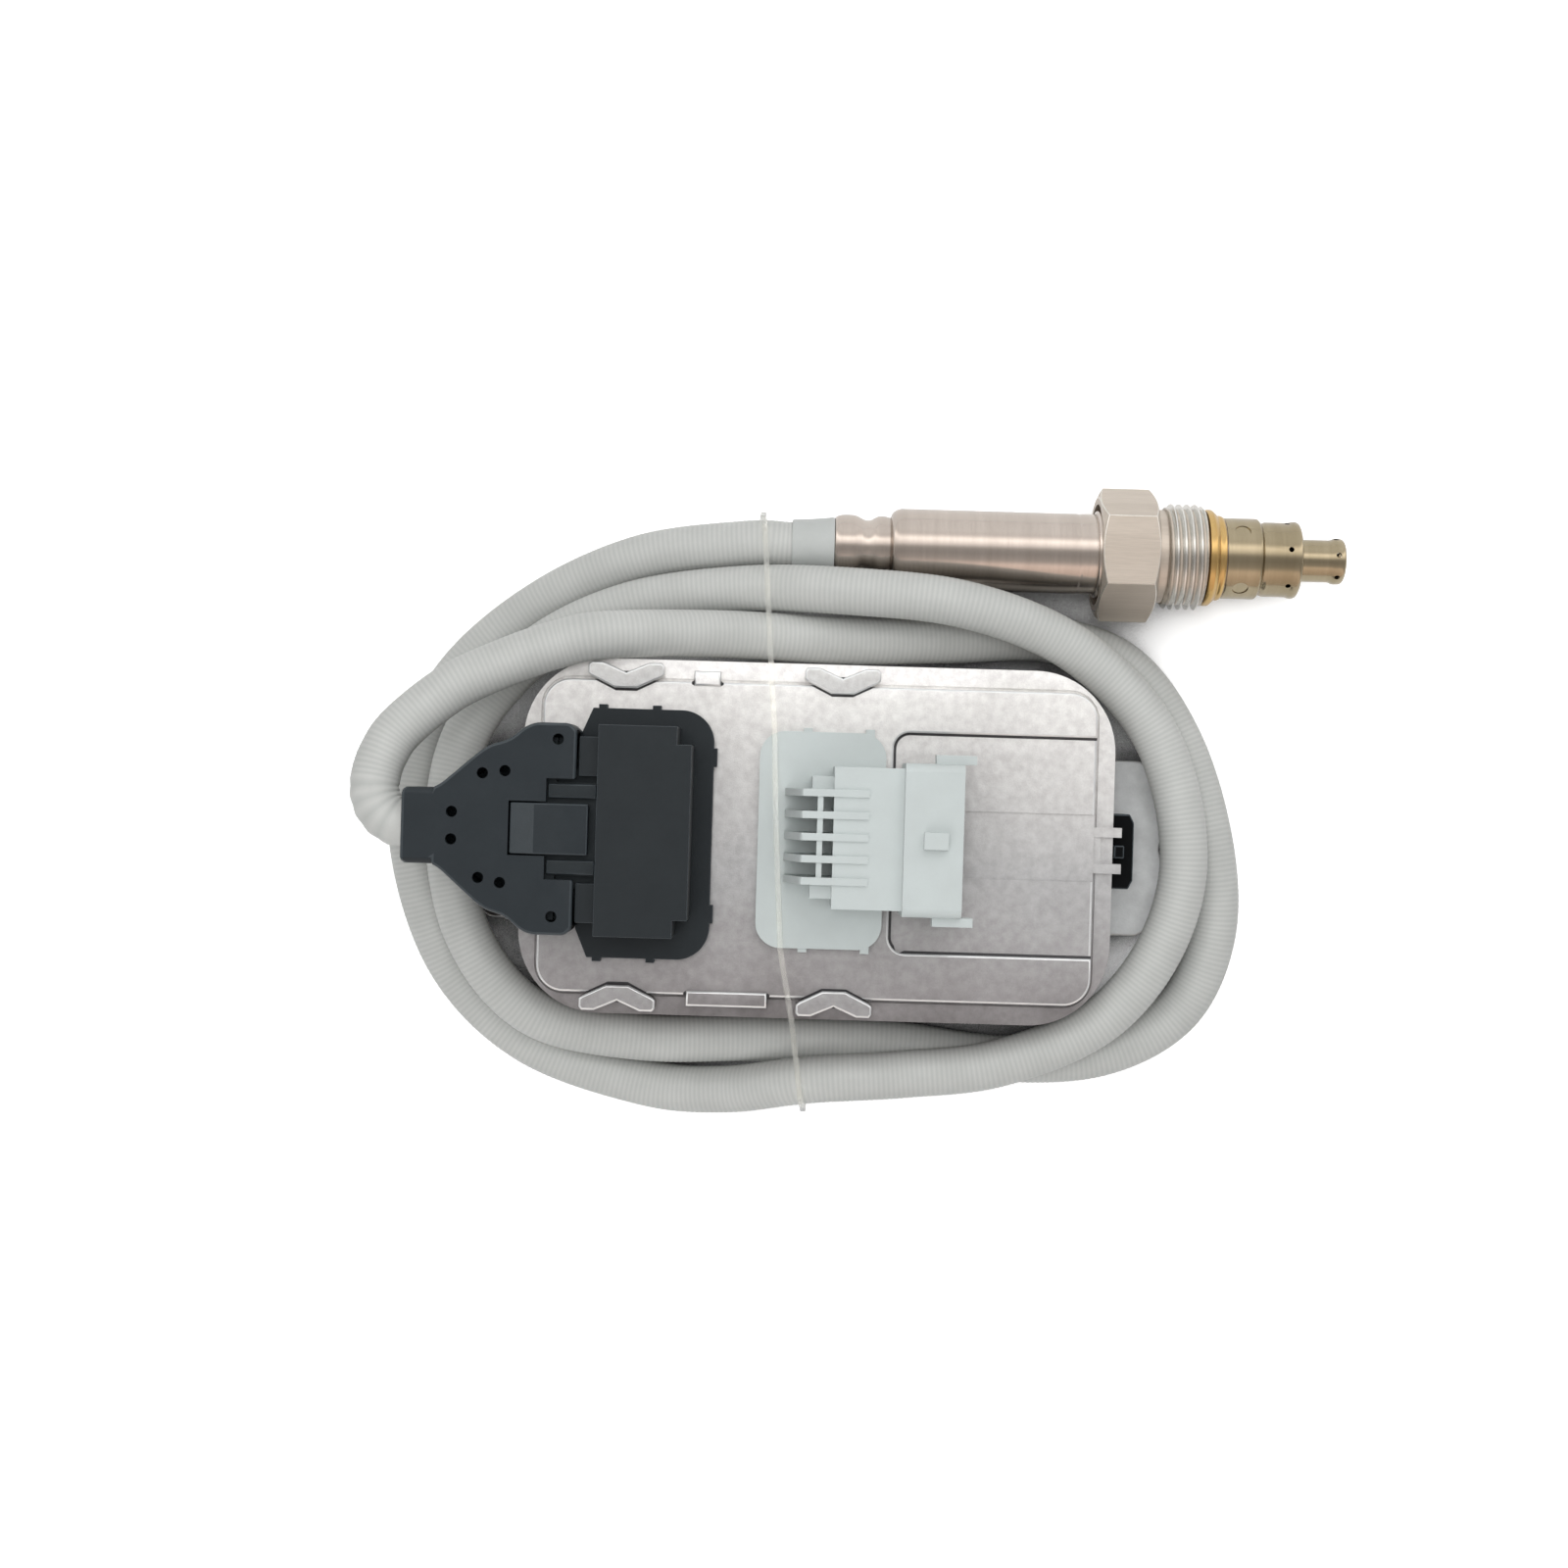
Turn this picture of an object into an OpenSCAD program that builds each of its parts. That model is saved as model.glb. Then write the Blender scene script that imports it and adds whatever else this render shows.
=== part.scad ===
// Exhaust gas sensor for nitrogen oxides: a die-cast control unit with two connectors,
// a ribbed hose wound round it and a screw-in probe with a free-turning hollow screw.
// Millimetres. Origin: midway between the two fixing holes, on the mounting face.
// +X to the vehicle connector and the probe's tip, +Y to the probe's side, +Z away from the mounting face.

/* [Control unit] */
// Height of the top plate above the mounting face
unit_h = 26; // [24:0.5:32]
// Length of the housing
shell_w = 109.4; // [106:0.2:112]
// Width of the housing
shell_d = 65.6; // [63:0.2:66]
// Corner radius of the housing walls
shell_r = 15; // [12:0.5:18]
// Wall of the two castings
wall = 2.4; // [1.8:0.1:3]
// Height of the joint between the lower and the upper casting
split_h = 9; // [8:0.5:11]
// Gap between the pan's underside and the mounting face
pan_lift = 2; // [1.6:0.1:3]
// Width of the shoulder at the ends of the raised top plate
shoulder_x = 3.7; // [3:0.1:6]
// Width of the shoulder along the sides of the raised top plate
shoulder_y = 4; // [3:0.1:6]
// Corner radius of the top plate
plate_r = 5; // [3:0.5:8]
// Height of the top plate above its shoulder
plate_rise = 2.4; // [1:0.1:4]
// Thickness of the gasket between the castings
gasket_t = 0.8; // [0.5:0.1:1.2]

/* [Top plate details] */
// Left end of the sunk panel
panel_x = 13.6; // [12.5:0.1:20]
// Width of the sunk panel
panel_d = 40.7; // [34:0.1:44]
// Depth of the sunk panel
panel_depth = 0.9; // [0.4:0.1:1.2]
// Width of the middle band of the panel
band_d = 12.4; // [8:0.1:16]
// Height of the raised marks above the top plate
mark_rise = 1.2; // [0.5:0.1:2]
// Length of a chevron mark
chevron_w = 14; // [10:0.5:16]
// Distance between two chevrons of a row
chevron_pitch = 39.8; // [36:0.1:44]

/* [Mounting ears] */
// Distance between the two fixing holes
ear_pitch = 140; // [138:0.5:150]
// Diameter of a fixing hole
ear_hole_d = 6.6; // [5.5:0.1:8.5]
// Radius of an ear's end
ear_end_r = 7; // [6:0.5:9]
// Width of an ear at the housing
ear_root_w = 34; // [28:0.5:40]
// Thickness of an ear
ear_t = 3; // [2:0.1:3.2]

/* [Cable connector] */
// Distance of the header's flange from the housing's left end
cable_in = 23.1; // [22:0.1:24]
// Middle of the cable connector across the housing
cable_y = 1.3; // [0:0.1:2.5]
// Length of the flange along X
cable_flange_w = 24.5; // [23:0.1:26]
// Width of the flange
cable_flange_d = 45.7; // [44:0.1:48]
// Thickness of both header flanges
flange_t = 2; // [1.5:0.1:3]
// Height of the header block above its flange
cable_block_h = 14; // [13:0.1:18]
// Height of the plug cover's top above the top plate
plug_top = 14.5; // [13.5:0.1:15.5]
// Width of the plug cover at its wide end
plug_d = 37.8; // [36:0.1:38]
// Width of the plug cover's neck
plug_neck_d = 13.6; // [12:0.1:15]
// Diameter of the small holes in the plug cover
plug_hole_d = 2; // [1.2:0.1:2.6]
// Clearance of the plug in its header
plug_clear = 0.2; // [0.1:0.05:0.4]

/* [Vehicle connector] */
// Distance of the vehicle header's flange from the cable header's flange
vehicle_in = 32.25; // [31:0.05:33]
// Middle of the vehicle connector across the housing
vehicle_y = 1.2; // [0:0.1:2]
// Length of the flange along X
vehicle_flange_w = 23.1; // [22:0.1:25]
// Width of the flange
vehicle_flange_d = 39.7; // [36:0.1:43]
// Width of the shroud
shroud_d = 27.3; // [25:0.1:30]
// Height of the shroud
shroud_h = 15; // [14:0.1:17]
// Length of the shroud's collar along X
shroud_w = 10.5; // [8:0.1:12]
// Wall of the shroud
shroud_t = 1.6; // [1.2:0.1:2.2]
// Depth of the socket behind the shroud's mouth
socket_depth = 18; // [14:0.5:19]
// Number of contacts
contact_n = 5; // [3:1:5]
// Distance between two contacts
contact_pitch = 3.93; // [3.8:0.01:4.4]
// Width of the blade of a contact
contact_w = 1.5; // [0.8:0.1:2]
// Thickness of the blade of a contact
contact_t = 0.8; // [0.5:0.1:1]

/* [Probe] */
// Width across the flats of the hollow screw
hex_af = 22; // [21:0.1:24]
// Length of the hexagon
hex_l = 10.8; // [9:0.1:11]
// Outer diameter of the screw thread
thread_d = 20; // [18:0.1:20.5]
// Length of the threaded part
thread_l = 7.4; // [6:0.1:7.6]
// Diameter of the probe's tube
tube_d = 15.2; // [14:0.1:15.6]
// Radial running clearance of the screw on the tube
run_clear = 0.05; // [0.02:0.01:0.1]
// Distance of the probe's axis from the middle of the unit
probe_y = 55.9; // [55:0.1:60]
// Place of the hose end on the probe's axis
probe_x = 1.8; // [1.8:0.1:2]
// Length of the crimped ferrule
ferrule_l = 10.6; // [9:0.1:12]
// Length of the tube behind the hexagon
tube_rear_l = 39.2; // [36:0.1:42]
// Diameter of the sealing collar
collar_d = 18.3; // [17:0.1:19]
// Outer diameter of the guard tube
guard_d = 15.3; // [14:0.1:15.6]
// Outer diameter of the guard tube in front of its waist
guard_front_d = 14.1; // [13:0.1:15]
// Length of the guard tube
guard_l = 14.4; // [12:0.1:17]
// Diameter of the round dimples that hold the guard
dimple_d = 3; // [2:0.1:4]
// Wall of the guard tubes
guard_t = 0.5; // [0.4:0.05:0.7]
// Diameter of the tip tube
tip_d = 8; // [7:0.1:10]
// Length by which the tip tube stands out of the guard
tip_l = 8.8; // [6:0.1:10]
// Number of gas holes round the guard, and round the tip
gas_hole_n = 6; // [4:1:10]
// Diameter of a gas hole
gas_hole_d = 1; // [0.8:0.1:2]

/* [Hidden] */
$fn = 48;
eps = 0.01;
seat_gap = 0.3;

// Levels of the control unit
plate_w = shell_w - 2 * shoulder_x;
plate_d = shell_d - 2 * shoulder_y;
groove_w = 0.6;
groove_h = 0.6;
plate_z = unit_h;
shoulder_z = unit_h - plate_rise;
upper_z = split_h + gasket_t;
pan_top = pan_lift + wall;
roof_z = shoulder_z - wall;
board_t = 1.6;
board_z = 14;
board_w = shell_w - 2 * wall - 5;
board_d = shell_d - 2 * wall - 5;
screw_x = shell_w / 2 - 13;
screw_y = shell_d / 2 - 11.5;
screw_d = 3;
boss_r = 3.6;
screw_head_d = 5.6;
screw_head_h = 2.2;
screw_grip = 7;
post_x = screw_x - 14;
post_y = screw_y;
post_r = 2.6;
post_screw_d = 2.1;
post_screw_head = 4.2;
post_screw_l = 4;
capacitor_d = 5;
capacitor_h = 5;
capacitor_pitch = 6;
chip_w = 12;
chip_h = 1.6;
coil_w = 12;
coil_d = 6;
coil_h = 3;
resistor_w = 2;
resistor_d = 4;
resistor_pitch = 3;
window_w = 14;
cable_window_d = 34;
vehicle_window_d = 24;
tab_out = 2;
tab_rise = 0.7;
chevron_x = -35.9;
finger_out = 1.5;
finger_d = 1.8;
finger_root = 1.4;
finger_y = [2.4, -4.3];
vent_y = -0.25;
vent_w = 14;
vent_z0 = 12;
vent_z1 = 20;
vent_out = 4.4;
vent_chamfer = 0.8;
vent_seat = 1.2;
vent_hole_d = 5;

// Ears
ear_x = ear_pitch / 2;
ear_taper_x = shell_w / 2 + 10;

// Cable connector
cable_x = cable_in - shell_w / 2;
flange_top = plate_z + flange_t;
block_x0 = cable_x - 7.9;
block_l = 14;
block_nose = 2.6;
block_d = 37.6;
block_key_d = 31.2;
block_top = flange_top + cable_block_h;
cavity_x1 = block_x0 + 11.5;
cavity_d = 33;
cover_t = 1.6;
cover_z0 = flange_top + seat_gap;
cover_z1 = plate_z + plug_top;
cavity_z0 = cover_z0 + cover_t - plug_clear;
cavity_h = 8.2;
neck_x = cable_x - 42.7;
neck_z = plate_z + 7.5;
neck_seat_l = 3.1;
neck_l = 5.6;
neck_edge_r = 1.2;
cover_ease = 2.4;
cover_x1 = cable_x - 11.8;
notch_x = cable_x - 17;
notch_d = 18;
latch_d = 9.1;
latch_x0 = cable_x - 23.3;
latch_grip = 4.3;
latch_rise = 0.4;
rail_d = 2.5;
rail_gap = 11.1;
insert_x0 = cable_x - 19;

// Vehicle connector
vehicle_x = cable_x + vehicle_in;
body_x0 = vehicle_x + 1.95;
body_x1 = body_x0 + 12.5;
body_d = 25.3;
body_top = plate_z + 15;
shroud_z0 = plate_z + 2.1;
shroud_x1 = body_x1 + shroud_w;
socket_x0 = shroud_x1 - socket_depth;
socket_z = shroud_z0 + shroud_h / 2;
lug_out = 2.2;
rib_x0 = vehicle_x - 6.75;
rib_x1 = vehicle_x + 8.25;
rib_t = 1.3;
rib_top = body_top + 0.4;
contact_x = vehicle_x + 3.95;

// Probe, along X from the hose end
probe_z = hex_af / 2;
tube_x0 = probe_x + ferrule_l;
hex_x0 = tube_x0 + tube_rear_l;
counterbore_l = 3;
counterbore_d = 19;
ring_l = 2.2;
relief_l = 1.8;
screw_x1 = hex_x0 + hex_l + relief_l + thread_l;
collar_x0 = screw_x1 + seat_gap;
collar_l = 2.1;
guard_x0 = collar_x0 + collar_l + 1.4;
guard_x1 = guard_x0 + guard_l;
tip_x1 = guard_x1 + tip_l;
tube_bore_d = tube_d - 2 * 1.2;
lip_out = 0.25;
tip_lip_out = 0.35;
waist_depth = 0.9;
dimple_n = 4;
dimple_depth = 0.3;
dimple_at = 3;
dimple_turn = 53;
gas_hole_turn = 49;

// Hose and its route, hand-set points along the middle of the hose
hose_d = 9;
hose_sides = 12;
ROUTE = [
    [-71.3, 1.3, 33.5], [-74, 1.3, 33.5], [-76.7, 1.9, 33.4], [-78.9, 3.6, 33.2], [-80.2, 6.1, 32.9],
    [-80.4, 9.2, 32.5], [-79.3, 13.6, 31.7], [-76.2, 18.8, 30.5], [-67.7, 26.2, 29], [-58.4, 31.1, 27.6],
    [-49, 34.8, 26.7],
    [-39.6, 37, 25.8], [-18, 38.2, 18.7], [4, 38, 13], [25, 39, 8.2], [44, 39.9, 5.1],
    [59, 34.8, 5], [69.5, 20.5, 6.5], [75.6, 1, 8], [76.6, -16.5, 6.8], [70.5, -31.2, 5],
    [56, -39.6, 4.8], [36, -41.2, 4.8], [14, -38.8, 5.6], [-10, -38.4, 7.2], [-33, -38.5, 9.8],
    [-52.7, -34.2, 12.4], [-64.8, -20.6, 14], [-69.4, -2, 14], [-67.3, 17, 13], [-55.5, 33.2, 12.4],
    [-38, 43, 13], [-16, 47, 14.3], [6, 46.9, 18.4], [28, 44.6, 19.8], [48, 37, 17.3],
    [63, 22, 16.3], [68.9, 1, 17.3], [65.8, -17, 16.2], [54.6, -32.2, 15.2], [36, -40.8, 15],
    [18, -43.6, 14.4], [0, -45.3, 13.4], [-16, -48.2, 8.4], [-32, -47.6, 5.4], [-54, -40.4, 5.2],
    [-69, -26.4, 6], [-76.6, -6, 8], [-77, 13, 6.5], [-69.5, 30, 5.2], [-54, 43.8, 6.3],
    [-35, 52.8, 9], [-15, 55.9, 10.9], [-6.4, 55.9, 11], [1.8, 55.9, 11]
];
hose_rings = 2 * (len(ROUTE) - 1);

// Tie band round the unit and the hose, hand-set points
tie_w = 1;
tie_t = 0.6;
TIE = [
    [-0.6, -41, 1.6], [-7, 0, 1.6], [-10.6, 33.4, 1.8], [-12, 57.5, 5.4], [-12, 60.9, 8.2],
    [-11.8, 61.4, 12], [-11.4, 58.8, 16.2], [-10.6, 48, 20.6], [-9.2, 29.4, 27], [-8.4, 20.8, 28.8],
    [-7.6, 2, 29], [-6.2, -19.8, 28.8], [-4.4, -29.4, 27], [-3.6, -33.6, 24.4], [-1.6, -48.6, 17.8],
    [-1, -50.8, 13], [-0.8, -49.2, 8.6]
];

// Plain shapes

// Rectangle with round corners, centred
module round_rect(w, d, r) {
    square([w, d - 2 * r], center = true);
    square([w - 2 * r, d], center = true);
    for (sx = [-1, 1], sy = [-1, 1])
        translate([sx * (w / 2 - r), sy * (d / 2 - r)]) circle(r = r);
}

// Slab with round corners from one height to another
module slab(w, d, r, z0, z1) {
    translate([0, 0, z0]) linear_extrude(z1 - z0) round_rect(w, d, r);
}

// Block given by its lowest corner and its highest corner
module block(low, high) {
    translate(low) cube(high - low);
}

// Turned shape about the probe's axis, from a profile of [place along the axis, radius]
module on_probe_axis() {
    translate([0, probe_y, probe_z]) rotate([0, 90, 0]) children();
}

// Straight cylinder about the probe's axis
module shaft(x0, x1, d) {
    on_probe_axis() translate([0, 0, x0]) cylinder(h = x1 - x0, d = d);
}

// Profile points turned about the probe's axis
module turned(points) {
    on_probe_axis() rotate_extrude() polygon([for (p = points) [p[1], p[0]]]);
}

// Four copies, one in each quarter
module quarters(x, y) {
    for (sx = [-1, 1], sy = [-1, 1]) translate([sx * x, sy * y, 0]) children();
}

// Sweeps along a route

// Point of a smooth curve through the points p at the parameter u, in spans
function lerp_index(p, i) = p[max(0, min(len(p) - 1, i))];
function curve_at(p, u) =
    let (i = min(floor(u), len(p) - 2), t = u - i)
    let (a = lerp_index(p, i - 1), b = p[i], c = p[i + 1], d = lerp_index(p, i + 2))
    0.5 * (2 * b + (c - a) * t + (2 * a - 5 * b + 4 * c - d) * t * t + (3 * b - a - 3 * c + d) * t * t * t);
function unit(v) = v / norm(v);
function curve_points(p, n) = [for (i = [0:n]) curve_at(p, i * (len(p) - 1) / n)];
function direction(c, i) = unit(c[min(i + 1, len(c) - 1)] - c[max(i - 1, 0)]);
function ring_at(c, i, r, sides) =
    let (t = direction(c, i), side = unit(cross(t, [0, 0, 1])), up = cross(side, t))
    [for (k = [0:sides - 1]) c[i] + r * (cos(360 * k / sides) * side + sin(360 * k / sides) * up)];

// Closed skin over rings of equal size, with flat ends
module skin(rings) {
    n = len(rings);
    m = len(rings[0]);
    polyhedron(
        points = [for (ring = rings) each ring],
        faces = concat(
            [[for (k = [0:m - 1]) m - 1 - k]],
            [for (i = [0:n - 2], k = [0:m - 1])
                [i * m + k, i * m + (k + 1) % m, (i + 1) * m + (k + 1) % m, (i + 1) * m + k]],
            [[for (k = [0:m - 1]) (n - 1) * m + k]]
        ),
        convexity = 10
    );
}

// Control unit

// Outline of one mounting ear, on the right
module ear_outline() {
    hull() {
        translate([0, -ear_root_w / 2]) square([ear_taper_x - 3, ear_root_w]);
        for (s = [-1, 1]) translate([ear_taper_x - 3, s * (ear_root_w / 2 - 3)]) circle(r = 3, $fn = 32);
    }
    hull() {
        for (s = [-1, 1]) translate([ear_taper_x - 3, s * (ear_root_w / 2 - 3)]) circle(r = 3, $fn = 32);
        translate([ear_x, 0]) circle(r = ear_end_r, $fn = 32);
    }
}

// Lower casting: a pan with two ears, bosses for the housing screws and posts for the board
module lower_housing() color("#9fa2a3") difference() {
    union() {
        difference() {
            slab(shell_w, shell_d, shell_r, pan_lift, split_h);
            slab(shell_w - 2 * wall, shell_d - 2 * wall, shell_r - wall, pan_top, split_h + 1);
        }
        difference() {
            for (m = [0, 1]) mirror([m, 0, 0]) linear_extrude(ear_t) ear_outline();
            block([-shell_w / 2 + 4, -ear_root_w / 2 - 1, -1], [shell_w / 2 - 4, ear_root_w / 2 + 1, pan_lift]);
            slab(shell_w - 2 * wall, shell_d - 2 * wall, shell_r - wall, pan_top, split_h + 1);
        }
        // Step along the root of the left ear
        block([-shell_w / 2 - 4.5, -ear_root_w / 2, ear_t - eps], [-shell_w / 2 + 0.5, ear_root_w / 2, split_h - 1]);
        quarters(screw_x, screw_y) translate([0, 0, pan_lift]) cylinder(h = split_h - pan_lift, r = boss_r);
        quarters(post_x, post_y) translate([0, 0, pan_lift]) cylinder(h = board_z - pan_lift, r = post_r);
        // Cooling ribs inside the pan
        for (i = [-2:2]) block([i * 9 - 0.7, -shell_d / 2 + 9, pan_lift], [i * 9 + 0.7, shell_d / 2 - 9, pan_top + 1.2]);
    }
    for (s = [-1, 1]) translate([s * ear_x, 0, -1]) cylinder(h = ear_t + 2, d = ear_hole_d);
    quarters(screw_x, screw_y) {
        translate([0, 0, -1]) cylinder(h = split_h + 2, d = screw_d + 0.4);
        translate([0, 0, -1]) cylinder(h = pan_lift + 1 + screw_head_h, d = screw_head_d + 0.6);
    }
    quarters(post_x, post_y) translate([0, 0, board_z - 6]) cylinder(h = 7, d = post_screw_d);
}

// Raised mark shaped like a shallow V, pointing towards -Y
module chevron(z0, z1) {
    h = chevron_w / 2;
    translate([0, 0, z0]) linear_extrude(z1 - z0) polygon([
        [-h + 0.5, 2.3], [-h + 2.8, 2.3], [0, 0.5], [h - 2.8, 2.3], [h - 0.5, 2.3], [h, 1.7], [h, 0.2],
        [h - 0.6, -0.3], [2.1, -2.4], [-2.1, -2.4], [-h + 0.6, -0.3], [-h, 0.2], [-h, 1.7]
    ]);
}

// Upper casting: box open below, raised plate, sunk panel, raised marks and the fingers of the vent
module upper_housing() color("#b9bbbb") difference() {
    union() {
        difference() {
            slab(shell_w, shell_d, shell_r, upper_z, shoulder_z);
            // Groove round the foot of the top plate
            slab(plate_w + 2 * groove_w, plate_d + 2 * groove_w, plate_r + groove_w, shoulder_z - groove_h, plate_z);
        }
        slab(plate_w, plate_d, plate_r, shoulder_z - 3, plate_z);
        for (i = [0, 1], s = [-1, 1])
            translate([chevron_x + i * chevron_pitch, s * (plate_d / 2 + 0.9), 0])
                mirror([0, s < 0 ? 1 : 0, 0]) chevron(shoulder_z - 1, plate_z + mark_rise);
        block([cable_x + 8.2, plate_d / 2 - 0.7, shoulder_z - 1],
              [cable_x + 13.1, plate_d / 2 + tab_out, plate_z + tab_rise]);
        block([cable_x + 8.3, -plate_d / 2 - tab_out, shoulder_z - 1],
              [cable_x + 23.2, -plate_d / 2 + 0.8, plate_z + tab_rise]);
        // Fingers over the vent cap
        for (y = finger_y)
            block([plate_w / 2 - 1, y, shoulder_z - 1.6], [shell_w / 2 + finger_out, y + finger_d, shoulder_z + 0.8]);
        block([plate_w / 2 - 1, finger_y[1], shoulder_z - 1.6],
              [plate_w / 2 + finger_root, finger_y[0] + finger_d, shoulder_z + 0.5]);
    }
    // Inside
    difference() {
        slab(shell_w - 2 * wall, shell_d - 2 * wall, shell_r - wall, upper_z - 1, roof_z);
        quarters(screw_x, screw_y) cylinder(h = unit_h, r = boss_r);
    }
    quarters(screw_x, screw_y) cylinder(h = upper_z + 1 + screw_grip, d = screw_d - 0.3);
    // Sunk panel with a lower middle band, open towards the right
    translate([panel_x, vehicle_y - 0.9 - panel_d / 2, plate_z - panel_depth])
        linear_extrude(panel_depth + 1) {
            translate([3, 0]) square([plate_w, panel_d]);
            translate([0, 3]) square([plate_w, panel_d - 6]);
            for (y = [3, panel_d - 3]) translate([3, y]) circle(r = 3);
        }
    block([panel_x + 12.6, -band_d / 2 + 0.3, plate_z - panel_depth - 0.3], [plate_w, band_d / 2 + 0.3, plate_z]);
    // Windows for the two headers
    header_window(cable_x + 1, cable_y, window_w, cable_window_d);
    header_window(vehicle_x + 1, vehicle_y, window_w, vehicle_window_d);
    // Seat of the vent cap in the right wall
    block([shell_w / 2 - vent_seat, vent_y - vent_w / 2 - seat_gap, vent_z0 - seat_gap],
          [shell_w, vent_y + vent_w / 2 + seat_gap, vent_z1 + seat_gap]);
    translate([shell_w / 2 - 5, vent_y, (vent_z0 + vent_z1) / 2])
        rotate([0, 90, 0]) cylinder(h = 6, d = vent_hole_d);
}

// Opening through the top plate under a header
module header_window(x, y, w, d) {
    block([x - w / 2, y - d / 2, roof_z - 1], [x + w / 2, y + d / 2, plate_z + 1]);
}

// Skirt of a header that fits in its window, with the same clearance all round
module header_skirt(x, y, w, d) {
    difference() {
        block([x - w / 2 + seat_gap, y - d / 2 + seat_gap, roof_z], [x + w / 2 - seat_gap, y + d / 2 - seat_gap, plate_z]);
        block([x - w / 2 + 1.8, y - d / 2 + 1.8, roof_z - 1], [x + w / 2 - 1.8, y + d / 2 - 1.8, plate_z - 0.8]);
    }
}

// Gasket between the castings
module housing_gasket() color("#26292b") difference() {
    slab(shell_w - 0.6, shell_d - 0.6, shell_r - 0.3, split_h, upper_z);
    slab(shell_w - 2 * wall, shell_d - 2 * wall, shell_r - wall, split_h - 1, upper_z + 1);
}

// Four screws from below that close the housing
module housing_screws() color("#8d9092") quarters(screw_x, screw_y) difference() {
    union() {
        translate([0, 0, pan_lift]) cylinder(h = screw_head_h, d = screw_head_d);
        translate([0, 0, pan_lift + 2]) cylinder(h = upper_z + screw_grip - pan_lift - 2, d = screw_d - 0.3);
    }
    translate([0, 0, pan_lift - 1]) cylinder(h = screw_head_h, d = 2.4, $fn = 6);
}

// Printed board
module circuit_board() color("#2f6b46") difference() {
    slab(board_w, board_d, shell_r - wall - 2.5, board_z, board_z + board_t);
    quarters(screw_x, screw_y) translate([0, 0, board_z - 1]) cylinder(h = board_t + 2, r = boss_r + 0.6);
    quarters(post_x, post_y) translate([0, 0, board_z - 1]) cylinder(h = board_t + 2, d = post_screw_d + 0.4);
}

// Screws that hold the board on its posts
module board_screws() color("#a9a9a4") quarters(post_x, post_y) {
    translate([0, 0, board_z + board_t]) cylinder(h = 1.4, d = post_screw_head);
    translate([0, 0, board_z - post_screw_l]) cylinder(h = post_screw_l + board_t + 0.2, d = post_screw_d);
}

// Tall parts on the board: capacitors, coil and processor
module board_parts() color("#3a3c3e") {
    top = board_z + board_t;
    row_y = board_d / 2 - 10;
    for (i = [0:2]) translate([post_x - 8 - i * capacitor_pitch, -row_y, top]) cylinder(h = capacitor_h, d = capacitor_d);
    block([post_x - chip_w, -chip_w / 2, top], [post_x, chip_w / 2, top + chip_h]);
    block([-post_x + 4, -row_y - coil_d / 2, top], [-post_x + 4 + coil_w, -row_y + coil_d / 2, top + coil_h]);
    for (i = [0:4]) {
        x = -post_x + 5 + i * resistor_pitch;
        block([x, row_y - resistor_d / 2, top], [x + resistor_w, row_y + resistor_d / 2, top + 1]);
    }
}

// Vent cap in the right wall, with chamfered outer corners
module vent_cap() color("#25282a") {
    x1 = vent_seat + vent_out;
    h = vent_w / 2;
    translate([shell_w / 2 - vent_seat, vent_y, vent_z0]) linear_extrude(vent_z1 - vent_z0) polygon([
        [0, -h], [x1 - vent_chamfer, -h], [x1, 2 * vent_chamfer - h], [x1, h - 2 * vent_chamfer],
        [x1 - vent_chamfer, h], [0, h]
    ]);
    // Rib towards the fingers
    block([shell_w / 2 + seat_gap, vent_y - 1.2, vent_z1 - eps], [shell_w / 2 + 2.2, vent_y + 1.2, shoulder_z - 0.2]);
    translate([shell_w / 2 - 3, vent_y, (vent_z0 + vent_z1) / 2])
        rotate([0, 90, 0]) cylinder(h = 2, d = vent_hole_d - 0.4);
}

// Cable connector

// Header for the cable: flange with round corners on one side, block with a socket towards -X
module cable_header() color("#26292c") difference() {
    union() {
        translate([0, 0, plate_z]) linear_extrude(flange_t) cable_flange_outline();
        block([block_x0, cable_y - block_d / 2, flange_top - eps], [block_x0 + block_l, cable_y + block_d / 2, block_top]);
        block([block_x0 + 1, cable_y - block_key_d / 2, flange_top - eps],
              [block_x0 + block_l + block_nose, cable_y + block_key_d / 2, block_top]);
        // Side cheeks in front of the block
        for (s = [-1, 1]) translate([0, cable_y, 0]) mirror([0, s < 0 ? 1 : 0, 0])
            block([block_x0 - 3.5, 9.6, flange_top - eps], [block_x0 + 1, 16.6, block_top - 3]);
        header_skirt(cable_x + 1, cable_y, window_w, cable_window_d);
    }
    block([block_x0 - 5, cable_y - cavity_d / 2, cavity_z0], [cavity_x1, cable_y + cavity_d / 2, cavity_z0 + cavity_h]);
    cable_contact_bars();
}

module cable_flange_outline() translate([cable_x, cable_y - 0.7]) {
    w = cable_flange_w / 2;
    d = cable_flange_d / 2;
    r = 6;
    polygon([[-w + 2.2, -d], [w - r, -d], [w - r, -d + r], [w, -d + r], [w, d - r], [w - r, d - r], [w - r, d],
             [-w + 2.2, d], [-w, d - 5.2], [-w, -d + 5.2]]);
    for (s = [-1, 1]) translate([w - r, s * (d - r)]) circle(r = r);
    // Small clips at the edge
    for (s = [-1, 1], x = [-w + 4, 1.6]) translate([x, s * (d + 0.2)]) square([1.6, 1], center = true);
    for (s = [-1, 1]) translate([w + 0.2, s * (d - 8.5)]) square([0.8, 3.4], center = true);
}

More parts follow.
